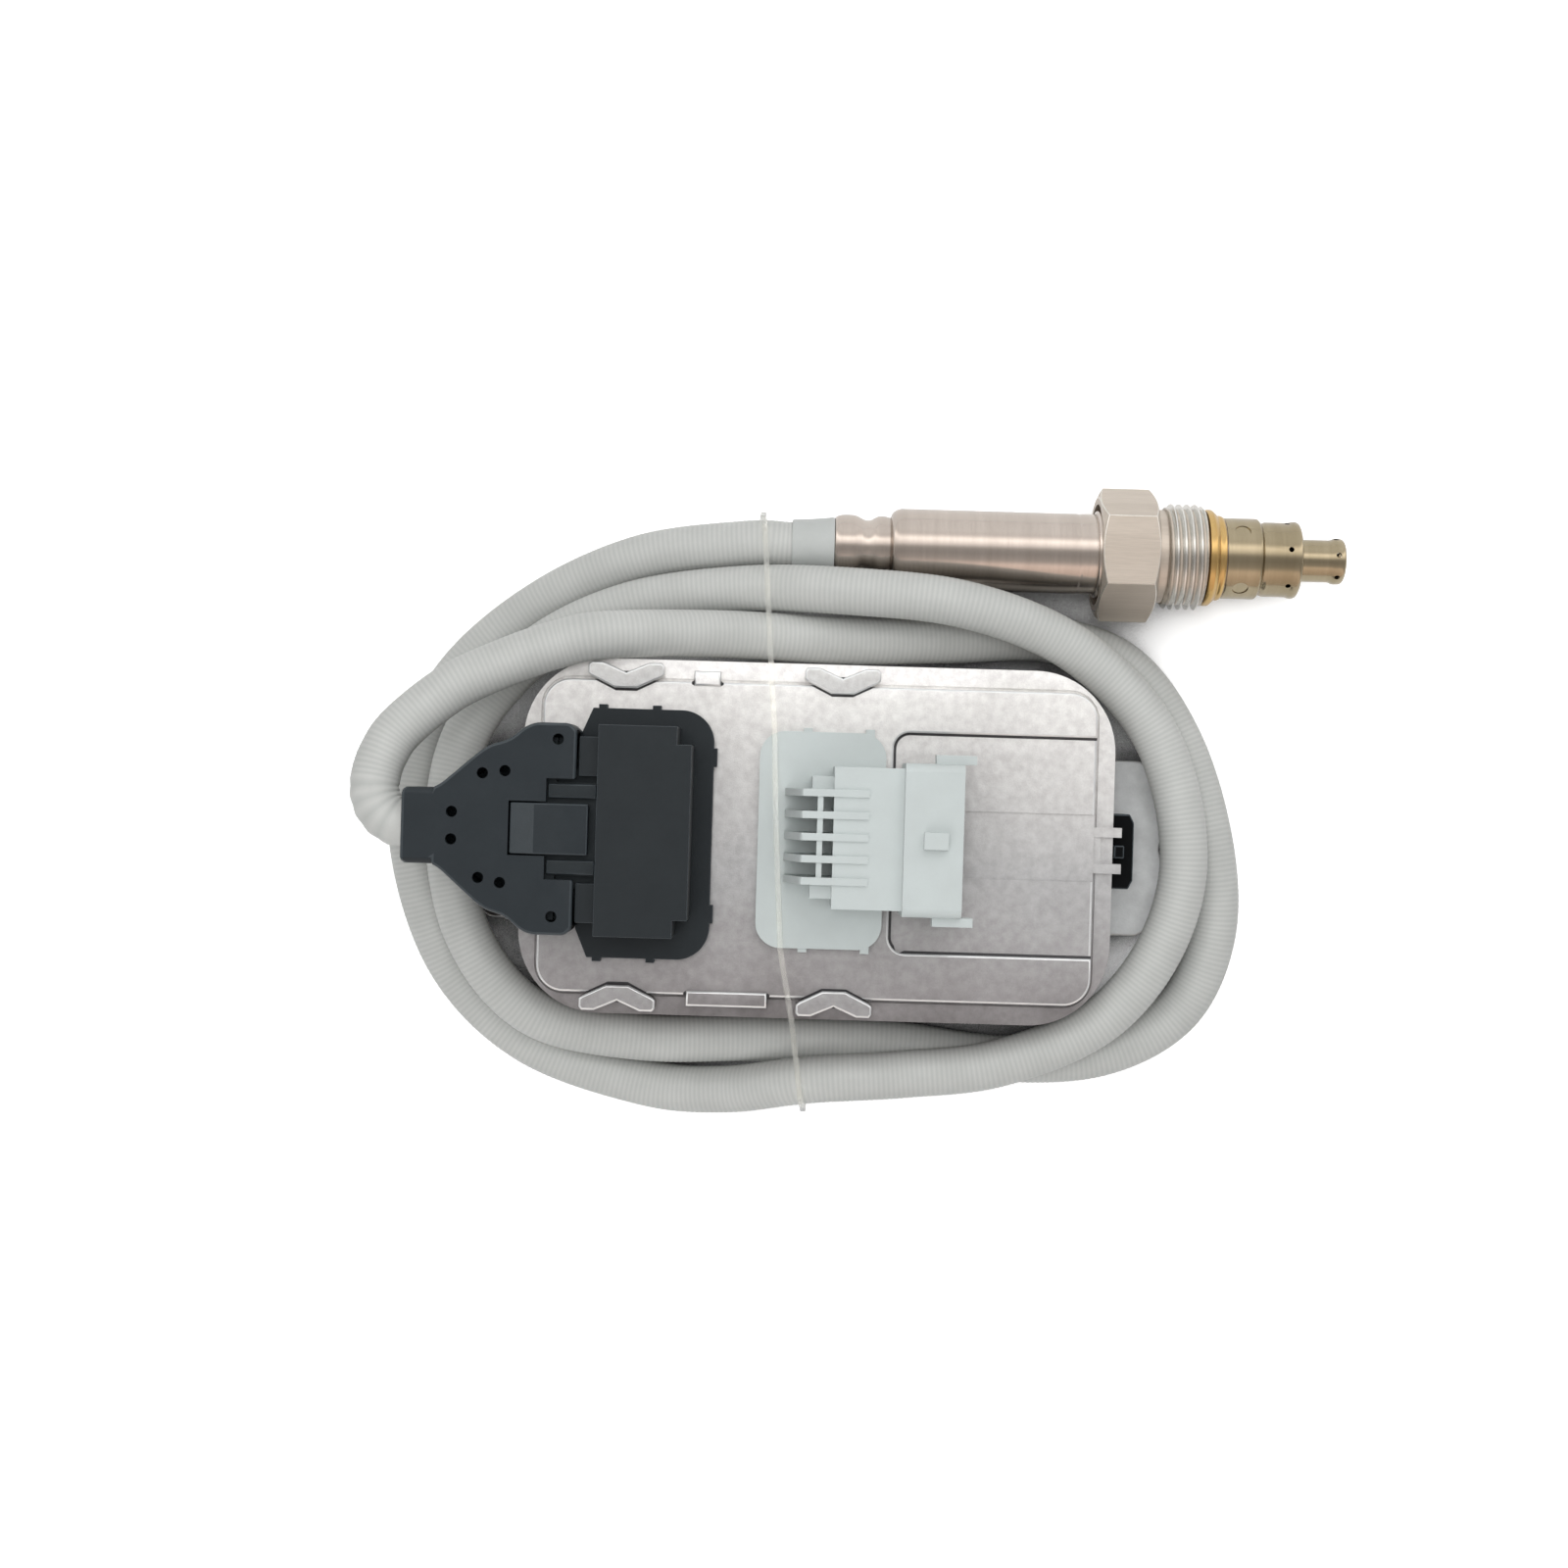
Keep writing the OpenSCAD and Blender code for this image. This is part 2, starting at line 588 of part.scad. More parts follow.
// Contacts of the cable header, two rows of blades that go down to the board
cable_contact_n = 6;
cable_contact_pitch = 4.6;
blade = 0.6;
module cable_contact_bars() {
    for (i = [0:cable_contact_n - 1], row = [0, 1]) {
        y = cable_y + (i - (cable_contact_n - 1) / 2) * cable_contact_pitch;
        x = cavity_x1 + 0.7 + row * 3 * blade;
        z = cavity_z0 + cavity_h * (row == 0 ? 0.3 : 0.7);
        block([cavity_x1 - 7, y - 0.4, z - blade / 2], [x + blade, y + 0.4, z + blade / 2]);
        block([x, y - 0.4, board_z + board_t], [x + blade, y + 0.4, z + blade / 2]);
    }
}
module cable_contacts() color("#c9b27a") cable_contact_bars();

// Line of points with its inner corners eased into short curves, by up to the cut c
function eased(p, c, steps = 3) = concat(
    [p[0]],
    [for (i = [1:len(p) - 2])
        let (a = unit(p[i - 1] - p[i]), b = unit(p[i + 1] - p[i]))
        let (d = min(c, norm(p[i - 1] - p[i]) / 2.1, norm(p[i + 1] - p[i]) / 2.1))
        each [for (k = [0:steps]) let (w = k / steps) p[i] + (1 - w) * (1 - w) * d * a + w * w * d * b]],
    [p[len(p) - 1]]
);

// Outline of the plug cover seen from above, its middle line on X
module cover_outline() {
    w = plug_d / 2;
    n = plug_neck_d / 2;
    side = eased([[cover_x1, w - 1.3], [cover_x1 - 1.2, w], [cover_x1 - 7.4, w], [cover_x1 - 9.4, w - 0.9],
                  [cover_x1 - 11.9, w - 3.2], [cover_x1 - 15.2, w - 4.1], [cover_x1 - 17.2, w - 5.4],
                  [neck_x + neck_l + 1.4, n + 0.8], [neck_x + neck_l, n], [neck_x + 0.6, n], [neck_x, n - 0.7]],
                 cover_ease);
    translate([0, cable_y]) polygon(concat(
        [[notch_x, notch_d / 2], [cover_x1, notch_d / 2]],
        side,
        [for (i = [len(side) - 1:-1:0]) [side[i][0], -side[i][1]]],
        [[cover_x1, -notch_d / 2], [notch_x, -notch_d / 2]]
    ));
}

// Inside of the plug cover: room for the insert and the wires
module cover_room() {
    w = plug_d / 2 - cover_t;
    side = [[cover_x1 + 1, w], [cover_x1 - 7.6, w], [cover_x1 - 11.2, w - 3.4], [cover_x1 - 16.6, w - 6.4], [neck_x + 6.3, 4]];
    translate([0, cable_y]) polygon(concat(side, [for (i = [len(side) - 1:-1:0]) [side[i][0], -side[i][1]]]));
}
PLUG_HOLES = [[3.3, 16], [16.6, 9.6], [12.6, 10.1], [21.9, 2.6], [21.9, -2.3], [16.9, -9], [13, -9.8], [3.7, -15.6]];

// Upper half of the plug cover
module plug_cover_top() color("#33393c") difference() {
    cover_half(neck_z, cover_z1);
    translate([0, 0, neck_z - 1]) linear_extrude(cover_z1 - cover_t - neck_z + 1) cover_room();
    for (p = PLUG_HOLES) translate([cover_x1 - p[0], cable_y + p[1], cover_z1 - 4]) cylinder(h = 5, d = plug_hole_d, $fn = 24);
    // Window for the latch
    block([latch_x0 - seat_gap, cable_y - latch_d / 2 - seat_gap, cover_z1 - 2.2],
          [cable_x, cable_y + latch_d / 2 + seat_gap, cover_z1 + 1]);
    neck_bore();
}

// Lower half of the plug cover, the insert on its floor
module plug_cover_bottom() color("#33393c") difference() {
    cover_half(cover_z0, neck_z);
    translate([0, 0, cover_z0 + cover_t]) linear_extrude(cover_z1) cover_room();
    neck_bore();
}

// One half of the plug cover, the neck with eased long edges
module cover_half(z0, z1) intersection() {
    translate([0, 0, z0]) linear_extrude(z1 - z0) cover_outline();
    union() {
        block([neck_x + neck_l, -plug_d, z0], [cable_x, plug_d, z1]);
        translate([neck_x - 1, cable_y, neck_z]) rotate([90, 0, 90])
            linear_extrude(neck_l + 1 + eps) round_rect(plug_neck_d, 2 * (cover_z1 - neck_z), neck_edge_r);
    }
}

// Seat of the hose in the neck, and the way for the wires into the cover
module neck_bore() {
    translate([neck_x - 1, cable_y, neck_z]) rotate([0, 90, 0]) cylinder(h = neck_seat_l + 1, d = hose_d + 2 * seat_gap);
    translate([neck_x + neck_seat_l - eps, cable_y, neck_z]) rotate([0, 90, 0]) cylinder(h = 10, d = 6.4);
}

// Insert of the plug with the sockets for the contacts, its nose in the header
module plug_insert() color("#2b3033") difference() {
    block([insert_x0, cable_y - cavity_d / 2 + plug_clear, cavity_z0 + plug_clear],
          [cavity_x1 - 0.6, cable_y + cavity_d / 2 - plug_clear, cavity_z0 + cavity_h - plug_clear]);
    cable_contact_room();
    // Steps beside the rails
    for (s = [-1, 1]) translate([0, cable_y, 0]) mirror([0, s < 0 ? 1 : 0, 0])
        block([insert_x0 + 3.6, rail_gap / 2 + rail_d + seat_gap, cavity_z0 + cavity_h - 2],
              [block_x0 - 0.4, cavity_d, cavity_z0 + cavity_h]);
}
module cable_contact_room() {
    for (i = [0:cable_contact_n - 1], row = [0, 1]) {
        y = cable_y + (i - (cable_contact_n - 1) / 2) * cable_contact_pitch;
        z = cavity_z0 + cavity_h * (row == 0 ? 0.3 : 0.7);
        block([insert_x0 - 1, y - 0.7, z - 0.6], [cavity_x1, y + 0.7, z + 0.6]);
    }
}

// Springy latch on top of the plug
module plug_latch() color("#363c3f") {
    z0 = cavity_z0 + cavity_h - plug_clear;
    translate([0, cable_y + latch_d / 2, 0]) rotate([90, 0, 0]) linear_extrude(latch_d) polygon([
        [latch_x0, cover_z1 - 1.9], [block_x0 - 1.5, cover_z1 - 1.9], [block_x0 - 1.5, cover_z1 + latch_rise],
        [latch_x0 + latch_grip, cover_z1 + latch_rise], [latch_x0, cover_z1 - 0.2]
    ]);
    block([insert_x0 + 2.8, cable_y - latch_d / 2 + 1, z0], [insert_x0 + 4.6, cable_y + latch_d / 2 - 1, cover_z1 - 1.8]);
}

// Two side clips that run over the header's block
module plug_clips() color("#2d3235") for (s = [-1, 1]) translate([0, cable_y + s * (rail_gap + rail_d) / 2, 0])
    block([notch_x + 0.3, -rail_d / 2, cavity_z0 + cavity_h - plug_clear], [block_x0 - 0.3, rail_d / 2, cover_z1 - 1.2]);

// Vehicle connector

// Header for the vehicle: flange, ribs over the bent contacts, body and shroud open towards +X
module vehicle_header() color("#cfd5d4") difference() {
    union() {
        translate([vehicle_x, vehicle_y - 0.85, 0]) slab(vehicle_flange_w, vehicle_flange_d, 4.6, plate_z, flange_top);
        // Small clips at the flange's edge
        for (x = [vehicle_x - 3.65, vehicle_x + 7.75], s = [-1, 1])
            block([x, vehicle_y - 0.85 + s * vehicle_flange_d / 2 - 0.7, plate_z],
                  [x + 1.6, vehicle_y - 0.85 + s * vehicle_flange_d / 2 + 0.7, flange_top - 0.4]);
        block([body_x0, vehicle_y - body_d / 2, flange_top - eps], [body_x1 + eps, vehicle_y + body_d / 2, body_top]);
        block([body_x0 - 3.9, vehicle_y - 10.9, flange_top - eps], [body_x0 + eps, vehicle_y - 8.4, body_top - 2]);
        block([body_x0 - 3.9, vehicle_y + 8.4, flange_top - eps], [body_x0 + eps, vehicle_y + 10.9, body_top - 2]);
        translate([(body_x1 + shroud_x1) / 2, vehicle_y, socket_z]) rotate([90, 0, 90])
            translate([0, 0, -shroud_w / 2]) linear_extrude(shroud_w) round_rect(shroud_d, shroud_h, 1.6);
        // Rim lugs and latch pip
        for (s = [-1, 1]) translate([0, vehicle_y, 0]) mirror([0, s < 0 ? 1 : 0, 0])
            block([shroud_x1 - 5, shroud_d / 2 - eps, socket_z + 1], [shroud_x1 + lug_out, shroud_d / 2 + 1.6, socket_z + 5]);
        block([shroud_x1 - 7, vehicle_y - 1.5, socket_z + shroud_h / 2 - eps],
              [shroud_x1 - 2.7, vehicle_y + 1.5, socket_z + shroud_h / 2 + 1.5]);
        for (i = [0:contact_n - 1]) contact_rib(contact_y(i));
        // Bar across the ribs
        block([vehicle_x - 0.95, contact_y(0), body_top - 2], [vehicle_x + 0.05, contact_y(contact_n - 1), body_top]);
        header_skirt(vehicle_x + 1, vehicle_y, window_w, vehicle_window_d);
    }
    // Socket, deeper and lower behind the collar
    translate([socket_x0, vehicle_y, socket_z]) rotate([90, 0, 90]) linear_extrude(socket_depth + 1)
        round_rect(shroud_d - 2 * shroud_t, 2 * (body_top - socket_z - shroud_t), 1);
    translate([body_x1 + 1.2, vehicle_y, socket_z]) rotate([90, 0, 90]) linear_extrude(shroud_w)
        round_rect(shroud_d - 2 * shroud_t, shroud_h - 2 * shroud_t, 1);
    vehicle_contact_bars();
}
function contact_y(i) = vehicle_y + 0.1 + (i - (contact_n - 1) / 2) * contact_pitch;

// Rib over one bent contact, low at its foot and level on the body
module contact_rib(y) {
    translate([0, y + rib_t / 2, 0]) rotate([90, 0, 0]) linear_extrude(rib_t) polygon([
        [rib_x0, flange_top - eps], [rib_x0, flange_top + 4], [rib_x0 + 2.6, rib_top - 0.6], [rib_x0 + 3.2, rib_top],
        [rib_x1, rib_top], [rib_x1, body_top - 1], [body_x0 + 0.2, body_top - 1], [body_x0 + 0.2, flange_top - eps]
    ]);
}

// Bent blades of the vehicle connector
module vehicle_contact_bars() {
    for (i = [0:contact_n - 1]) {
        y = contact_y(i);
        block([contact_x, y - contact_w / 2, socket_z - contact_t / 2],
              [shroud_x1 - 6, y + contact_w / 2, socket_z + contact_t / 2]);
        block([contact_x, y - contact_w / 2, board_z + board_t], [contact_x + contact_t, y + contact_w / 2, socket_z]);
    }
}
module vehicle_contacts() color("#c9b27a") vehicle_contact_bars();

// Hose, collar and tie band

module hose() color("#aeb3b1") {
    c = curve_points(ROUTE, hose_rings);
    skin([for (i = [0:hose_rings]) ring_at(c, i, hose_d / 2, hose_sides)]);
}

// Rubber end of the hose, slipped over it at the ferrule
module hose_collar() color("#a9aeac") difference() {
    turned([[probe_x - 8, 0], [probe_x - 8, hose_d / 2 + 0.75], [probe_x - 4, hose_d / 2 + 0.9],
            [probe_x, hose_d / 2 + 1.2], [probe_x, 0]]);
    shaft(probe_x - 9, probe_x + 1, hose_d + 0.5);
}

module tie_band() color("#e6dfc4") {
    n = len(TIE);
    polyhedron(
        points = [for (i = [0:n - 1]) each tie_ring(i)],
        faces = [for (i = [0:n - 1], k = [0:3])
            [i * 4 + k, i * 4 + (k + 1) % 4, ((i + 1) % n) * 4 + (k + 1) % 4, ((i + 1) % n) * 4 + k]],
        convexity = 10
    );
}
function tie_out(i) =
    let (n = len(TIE), t = unit(TIE[(i + 1) % n] - TIE[(i + n - 1) % n]))
    unit([0, t[2], -t[1]]);
function tie_ring(i) =
    let (o = tie_out(i), p = TIE[i], w = [tie_w / 2, 0, 0])
    [p - w, p + w, p + w + o * tie_t, p - w + o * tie_t];

// Probe

// Ferrule crimped on the hose end: bulge, waist and flare
module ferrule() color("#b9b1a8") difference() {
    turned([[probe_x, 0], [probe_x, 5.4], [probe_x + 0.8, 6], [probe_x + 2, 6.2], [probe_x + 4, 6.1],
            [probe_x + 5.4, 5.5], [probe_x + 6.2, 5.2], [probe_x + 7, 5.3], [probe_x + 7.8, 5.9],
            [probe_x + 8.6, 6.1], [probe_x + 9.4, 6], [tube_x0, 5.8], [tube_x0, 0]]);
    shaft(probe_x - 1, tube_x0 + 1, 6);
}

// Drawn tube of the probe with a rolled rear end
module probe_tube() color("#b7aea6") difference() {
    turned([[tube_x0, 0], [tube_x0, 6.1], [tube_x0 + 0.8, 7.2], [tube_x0 + 1.8, tube_d / 2],
            [guard_x0, tube_d / 2], [guard_x0, 0]]);
    shaft(tube_x0 + 1.6, guard_x0 + 1, tube_bore_d);
    shaft(tube_x0 - 1, guard_x0, 6);
}

// Ring on the tube, in the counterbore of the screw
module stop_ring() color("#c8c2ba") difference() {
    shaft(hex_x0 + 0.4, hex_x0 + 0.4 + ring_l, counterbore_d - 1.2);
    shaft(hex_x0, hex_x0 + counterbore_l, tube_d);
}

// Hollow screw: hexagon, relief and thread cylinder, turning freely on the tube
module hollow_screw() color("#a8a59c") difference() {
    union() {
        intersection() {
            on_probe_axis() translate([0, 0, hex_x0]) rotate([0, 0, 30]) cylinder(h = hex_l, d = hex_af / cos(30), $fn = 6);
            turned([[hex_x0, 0], [hex_x0, hex_af / 2 - 0.2], [hex_x0 + 1, hex_af / cos(30) / 2 + 0.1],
                    [hex_x0 + hex_l - 1, hex_af / cos(30) / 2 + 0.1], [hex_x0 + hex_l, hex_af / 2 - 0.2],
                    [hex_x0 + hex_l, 0]]);
        }
        shaft(hex_x0 + hex_l - eps, hex_x0 + hex_l + relief_l + eps, thread_d - 2.4);
        shaft(hex_x0 + hex_l + relief_l, screw_x1, thread_d);
    }
    shaft(hex_x0 - 1, screw_x1 + 1, tube_d + 2 * run_clear);
    shaft(hex_x0 - 1, hex_x0 + counterbore_l, counterbore_d);
}

// Collar that seals against the exhaust boss
module sealing_collar() color("#b09a6e") difference() {
    turned([[collar_x0, 0], [collar_x0, collar_d / 2 - 0.3], [collar_x0 + 0.4, collar_d / 2],
            [collar_x0 + collar_l - 0.8, collar_d / 2], [collar_x0 + collar_l, tube_d / 2 + 0.6],
            [collar_x0 + collar_l, 0]]);
    shaft(collar_x0 - 1, collar_x0 + collar_l + 1, tube_d);
}

// Cutters for holes square to the probe's axis, evenly round it
module round_holes(x, n, turn, r0, d) {
    on_probe_axis() for (i = [0:n - 1]) rotate([0, 0, turn + i * 360 / n])
        translate([0, 0, x]) rotate([0, 90, 0]) translate([0, 0, r0]) cylinder(h = 20, d = d, $fn = 24);
}

// Outer guard: thin cap with round dimples, a waist, a narrower front with gas holes and a flared lip
module guard_tube() color("#a39a7f") {
    r = guard_d / 2;
    f = guard_front_d / 2;
    t = guard_t;
    hole = tip_d / 2 + 0.05;
    waist = guard_x0 + guard_l / 2;
    difference() {
        turned([[guard_x0, tube_bore_d / 2], [guard_x0, r - 0.2], [guard_x0 + 0.3, r], [waist - 0.8, r],
                [waist, r - waist_depth], [waist + 0.7, f], [guard_x1 - 2, f], [guard_x1 - 1.4, f + lip_out],
                [guard_x1 - 0.6, f + lip_out], [guard_x1 - 0.1, f - 0.1], [guard_x1, f - 0.6], [guard_x1, hole],
                [guard_x1 - t, hole], [guard_x1 - t, f - 0.8], [guard_x1 - 0.8, f + lip_out - t],
                [guard_x1 - 1.3, f + lip_out - t], [guard_x1 - 1.9, f - t], [waist + 0.8, f - t],
                [waist, r - waist_depth - t], [waist - 0.9, r - t], [guard_x0 + 1, r - t],
                [guard_x0 + 1, tube_bore_d / 2]]);
        round_holes(guard_x1 - 2.4, gas_hole_n, gas_hole_turn, 0, gas_hole_d);
        round_holes(guard_x0 + dimple_at, dimple_n, dimple_turn, r - dimple_depth, dimple_d);
    }
}

// Inner tube, its foot seated in the guard and its flared tip standing out of it
module tip_tube() color("#b3a78a") {
    r = tip_d / 2;
    lip = r + tip_lip_out;
    t = guard_t;
    foot = guard_x0 + 1.3;
    difference() {
        turned([[foot, r - t], [foot, guard_d / 2 - t - seat_gap], [foot + t, guard_d / 2 - t - seat_gap], [foot + t, r],
                [tip_x1 - 2.8, r], [tip_x1 - 2, lip], [tip_x1 - 0.8, lip], [tip_x1 - 0.2, lip - 0.3],
                [tip_x1, lip - 0.9], [tip_x1, 1.6], [tip_x1 - t, 1.6], [tip_x1 - t, lip - 1.1],
                [tip_x1 - 1, lip - t], [tip_x1 - 1.9, lip - t], [tip_x1 - 2.7, r - t]]);
        round_holes(tip_x1 - 1.6, gas_hole_n, gas_hole_turn, 0, gas_hole_d);
    }
}

// Ceramic strip that senses the gas
module sensing_element() color("#e4e0d6") {
    x0 = tube_x0 + 8;
    block([x0, probe_y - 2, probe_z - 0.7], [tip_x1 - 3, probe_y + 2, probe_z + 0.7]);
}

// Ceramic bodies that hold the strip
module front_insulator() color("#ddd8cc") insulator(hex_x0 + 2, guard_x0 - 2);
module rear_insulator() color("#ddd8cc") insulator(tube_x0 + 10, tube_x0 + 30);
module insulator(x0, x1) difference() {
    shaft(x0, x1, tube_bore_d - 0.2);
    block([x0 - 1, probe_y - 2.1, probe_z - 0.8], [x1 + 1, probe_y + 2.1, probe_z + 0.8]);
}

lower_housing();
upper_housing();
housing_gasket();
housing_screws();
circuit_board();
board_parts();
board_screws();
vent_cap();
cable_header();
cable_contacts();
plug_cover_top();
plug_cover_bottom();
plug_insert();
plug_latch();
plug_clips();
vehicle_header();
vehicle_contacts();
hose();
hose_collar();
tie_band();
ferrule();
probe_tube();
stop_ring();
hollow_screw();
sealing_collar();
guard_tube();
tip_tube();
sensing_element();
front_insulator();
rear_insulator();
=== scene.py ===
"""Looks of a nitrogen oxide sensor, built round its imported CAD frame.

Everything is in metres in the frame of the CAD part. The control unit lies flat
with its fixing holes on the plane z = 0, the hose is wound round it, and the
probe lies beside it with its axis along +X.
"""

import logging
import math
from collections.abc import Callable, Iterable, Sequence
from dataclasses import dataclass, field
from enum import Enum

import bmesh
import bpy
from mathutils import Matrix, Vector


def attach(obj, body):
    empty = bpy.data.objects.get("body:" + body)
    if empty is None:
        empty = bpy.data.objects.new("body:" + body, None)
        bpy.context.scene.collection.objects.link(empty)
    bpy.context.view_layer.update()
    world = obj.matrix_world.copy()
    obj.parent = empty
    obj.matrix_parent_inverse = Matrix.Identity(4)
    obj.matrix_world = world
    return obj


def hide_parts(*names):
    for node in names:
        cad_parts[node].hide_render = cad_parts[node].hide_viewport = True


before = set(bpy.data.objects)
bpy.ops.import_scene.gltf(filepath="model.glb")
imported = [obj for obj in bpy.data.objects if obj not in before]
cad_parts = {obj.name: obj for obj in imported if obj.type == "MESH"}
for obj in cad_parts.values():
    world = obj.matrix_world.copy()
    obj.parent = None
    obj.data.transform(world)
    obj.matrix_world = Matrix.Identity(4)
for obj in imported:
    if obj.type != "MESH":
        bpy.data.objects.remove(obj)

LOG = logging.getLogger("sensor")
MM = 0.001
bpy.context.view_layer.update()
AXIS = Vector((0.0, 0.0559, 0.011))

Colour = tuple[float, float, float, float]
Profile = Sequence[tuple[float, float]]
EdgeTest = Callable[[Vector, Vector, bool], bool]


class Body(Enum):
    """The CAD bodies that pieces ride on."""

    SENSOR = "sensor"
    SCREW = "screw"


class Slot(Enum):
    """The record's material slots."""

    CAST_LOWER = "cast_lower"
    CAST_UPPER = "cast_upper"
    GASKET = "gasket_rubber"
    ZINC = "zinc_screws"
    LAMINATE = "board_laminate"
    COMPONENTS = "board_components"
    VENT = "vent_plastic"
    HEADER_BLACK = "header_black"
    CONTACT = "contact_plate"
    PLUG_BLACK = "plug_black"
    INSERT_BLACK = "insert_black"
    HEADER_GREY = "header_grey"
    HOSE = "hose_grey"
    BAND = "band_clear"
    STAINLESS = "stainless"
    NICKEL = "screw_nickel"
    COLLAR = "collar_gold"
    GUARD = "guard_gold"
    CERAMIC = "ceramic_white"


class Grain(Enum):
    """The way in which the lines of a worked metal surface run."""

    NONE = (1.0, 1.0, 1.0)
    ALONG_X = (0.04, 1.0, 1.0)
    ROUND_X = (1.0, 0.06, 0.06)


def srgb(code: str) -> Colour:
    """Turns a display colour into the linear colour that shaders use.

    Args:
        code: Six hexadecimal digits.

    Returns:
        Linear red, green, blue and an alpha of one.
    """
    parts = [int(code[i : i + 2], 16) / 255 for i in (0, 2, 4)]
    linear = [c / 12.92 if c <= 0.04045 else ((c + 0.055) / 1.055) ** 2.4 for c in parts]
    return (linear[0], linear[1], linear[2], 1.0)


# Node sheets and finishes


class NodeSheet:
    """A node tree with short calls for adding and joining nodes."""

    def __init__(self, tree: bpy.types.NodeTree) -> None:
        """Keeps the tree that the calls work on."""
        self.tree = tree

    def add(self, kind: str, inputs: dict[str, object] | None = None, **settings: object) -> bpy.types.Node:
        """Adds a node.

        Args:
            kind: Blender's node type.
            inputs: Values of sockets by name. A socket of another node is linked.
            settings: Properties of the node.

        Returns:
            The new node.
        """
        node = self.tree.nodes.new(kind)
        for key, value in settings.items():
            setattr(node, key, value)
        for key, value in (inputs or {}).items():
            self.feed(node, key, value)
        return node

    def feed(self, node: bpy.types.Node, key: str | int, value: object) -> None:
        """Sets a socket's value, or links another socket to it."""
        if isinstance(value, bpy.types.NodeSocket):
            self.tree.links.new(value, node.inputs[key])
        else:
            node.inputs[key].default_value = value

    def math(self, operation: str, a: object, b: object = 0.0, clamp: bool = False) -> bpy.types.NodeSocket:
        """Adds a math node and returns its result."""
        node = self.add("ShaderNodeMath", operation=operation, use_clamp=clamp)
        self.feed(node, 0, a)
        self.feed(node, 1, b)
        return node.outputs[0]

    def blend(self, factor: object, a: object, b: object, mode: str = "MIX") -> bpy.types.NodeSocket:
        """Adds a colour mix node and returns its result."""
        node = self.add("ShaderNodeMix", data_type="RGBA", blend_type=mode, clamp_result=True)
        self.feed(node, 0, factor)
        self.feed(node, 6, a)
        self.feed(node, 7, b)
        return node.outputs[2]

    def span(self, value: object, low: float, high: float, to_low: float = 0.0, to_high: float = 1.0) -> bpy.types.NodeSocket:
        """Adds a clamped map range node and returns its result."""
        node = self.add("ShaderNodeMapRange", clamp=True)
        for i, v in enumerate((value, low, high, to_low, to_high)):
            self.feed(node, i, v)
        return node.outputs[0]


def surface_group() -> bpy.types.NodeTree:
    """Makes the shared group that varies colour and roughness in patches and grain.

    Returns:
        The node group, made once.
    """
    found = bpy.data.node_groups.get("patches_and_grain")
    if found:
        return found
    tree = bpy.data.node_groups.new("patches_and_grain", "ShaderNodeTree")
    sheet = NodeSheet(tree)
    for name, kind in (
        ("Vector", "NodeSocketVector"),
        ("Base", "NodeSocketColor"),
        ("Shade", "NodeSocketColor"),
        ("Patch Scale", "NodeSocketFloat"),
        ("Patch Amount", "NodeSocketFloat"),
        ("Grain Scale", "NodeSocketFloat"),
        ("Grain Amount", "NodeSocketFloat"),
        ("Rough", "NodeSocketFloat"),
        ("Rough Spread", "NodeSocketFloat"),
    ):
        tree.interface.new_socket(name=name, in_out="INPUT", socket_type=kind)
    for name, kind in (("Color", "NodeSocketColor"), ("Roughness", "NodeSocketFloat"), ("Height", "NodeSocketFloat")):
        tree.interface.new_socket(name=name, in_out="OUTPUT", socket_type=kind)
    inside = sheet.add("NodeGroupInput").outputs
    end = sheet.add("NodeGroupOutput")
    patch = sheet.add(
        "ShaderNodeTexNoise",
        {"Vector": inside["Vector"], "Scale": inside["Patch Scale"], "Detail": 4.0, "Roughness": 0.6},
    ).outputs[0]
    grain = sheet.add(
        "ShaderNodeTexNoise",
        {"Vector": inside["Vector"], "Scale": inside["Grain Scale"], "Detail": 2.0, "Roughness": 0.55},
    ).outputs[0]
    wide = sheet.span(patch, 0.34, 0.66)
    tone = sheet.blend(sheet.math("MULTIPLY", wide, inside["Patch Amount"], True), inside["Base"], inside["Shade"])
    speck = sheet.math("MULTIPLY", sheet.math("SUBTRACT", grain, 0.5), inside["Grain Amount"])
    bright = sheet.math("ADD", speck, 1.0)
    lit = sheet.add("ShaderNodeHueSaturation", {"Color": tone, "Value": bright}).outputs[0]
    rough = sheet.math("ADD", inside["Rough"], sheet.math("MULTIPLY", sheet.math("SUBTRACT", patch, 0.5), inside["Rough Spread"]), True)
    sheet.feed(end, "Color", lit)
    sheet.feed(end, "Roughness", rough)
    sheet.feed(end, "Height", grain)
    return tree


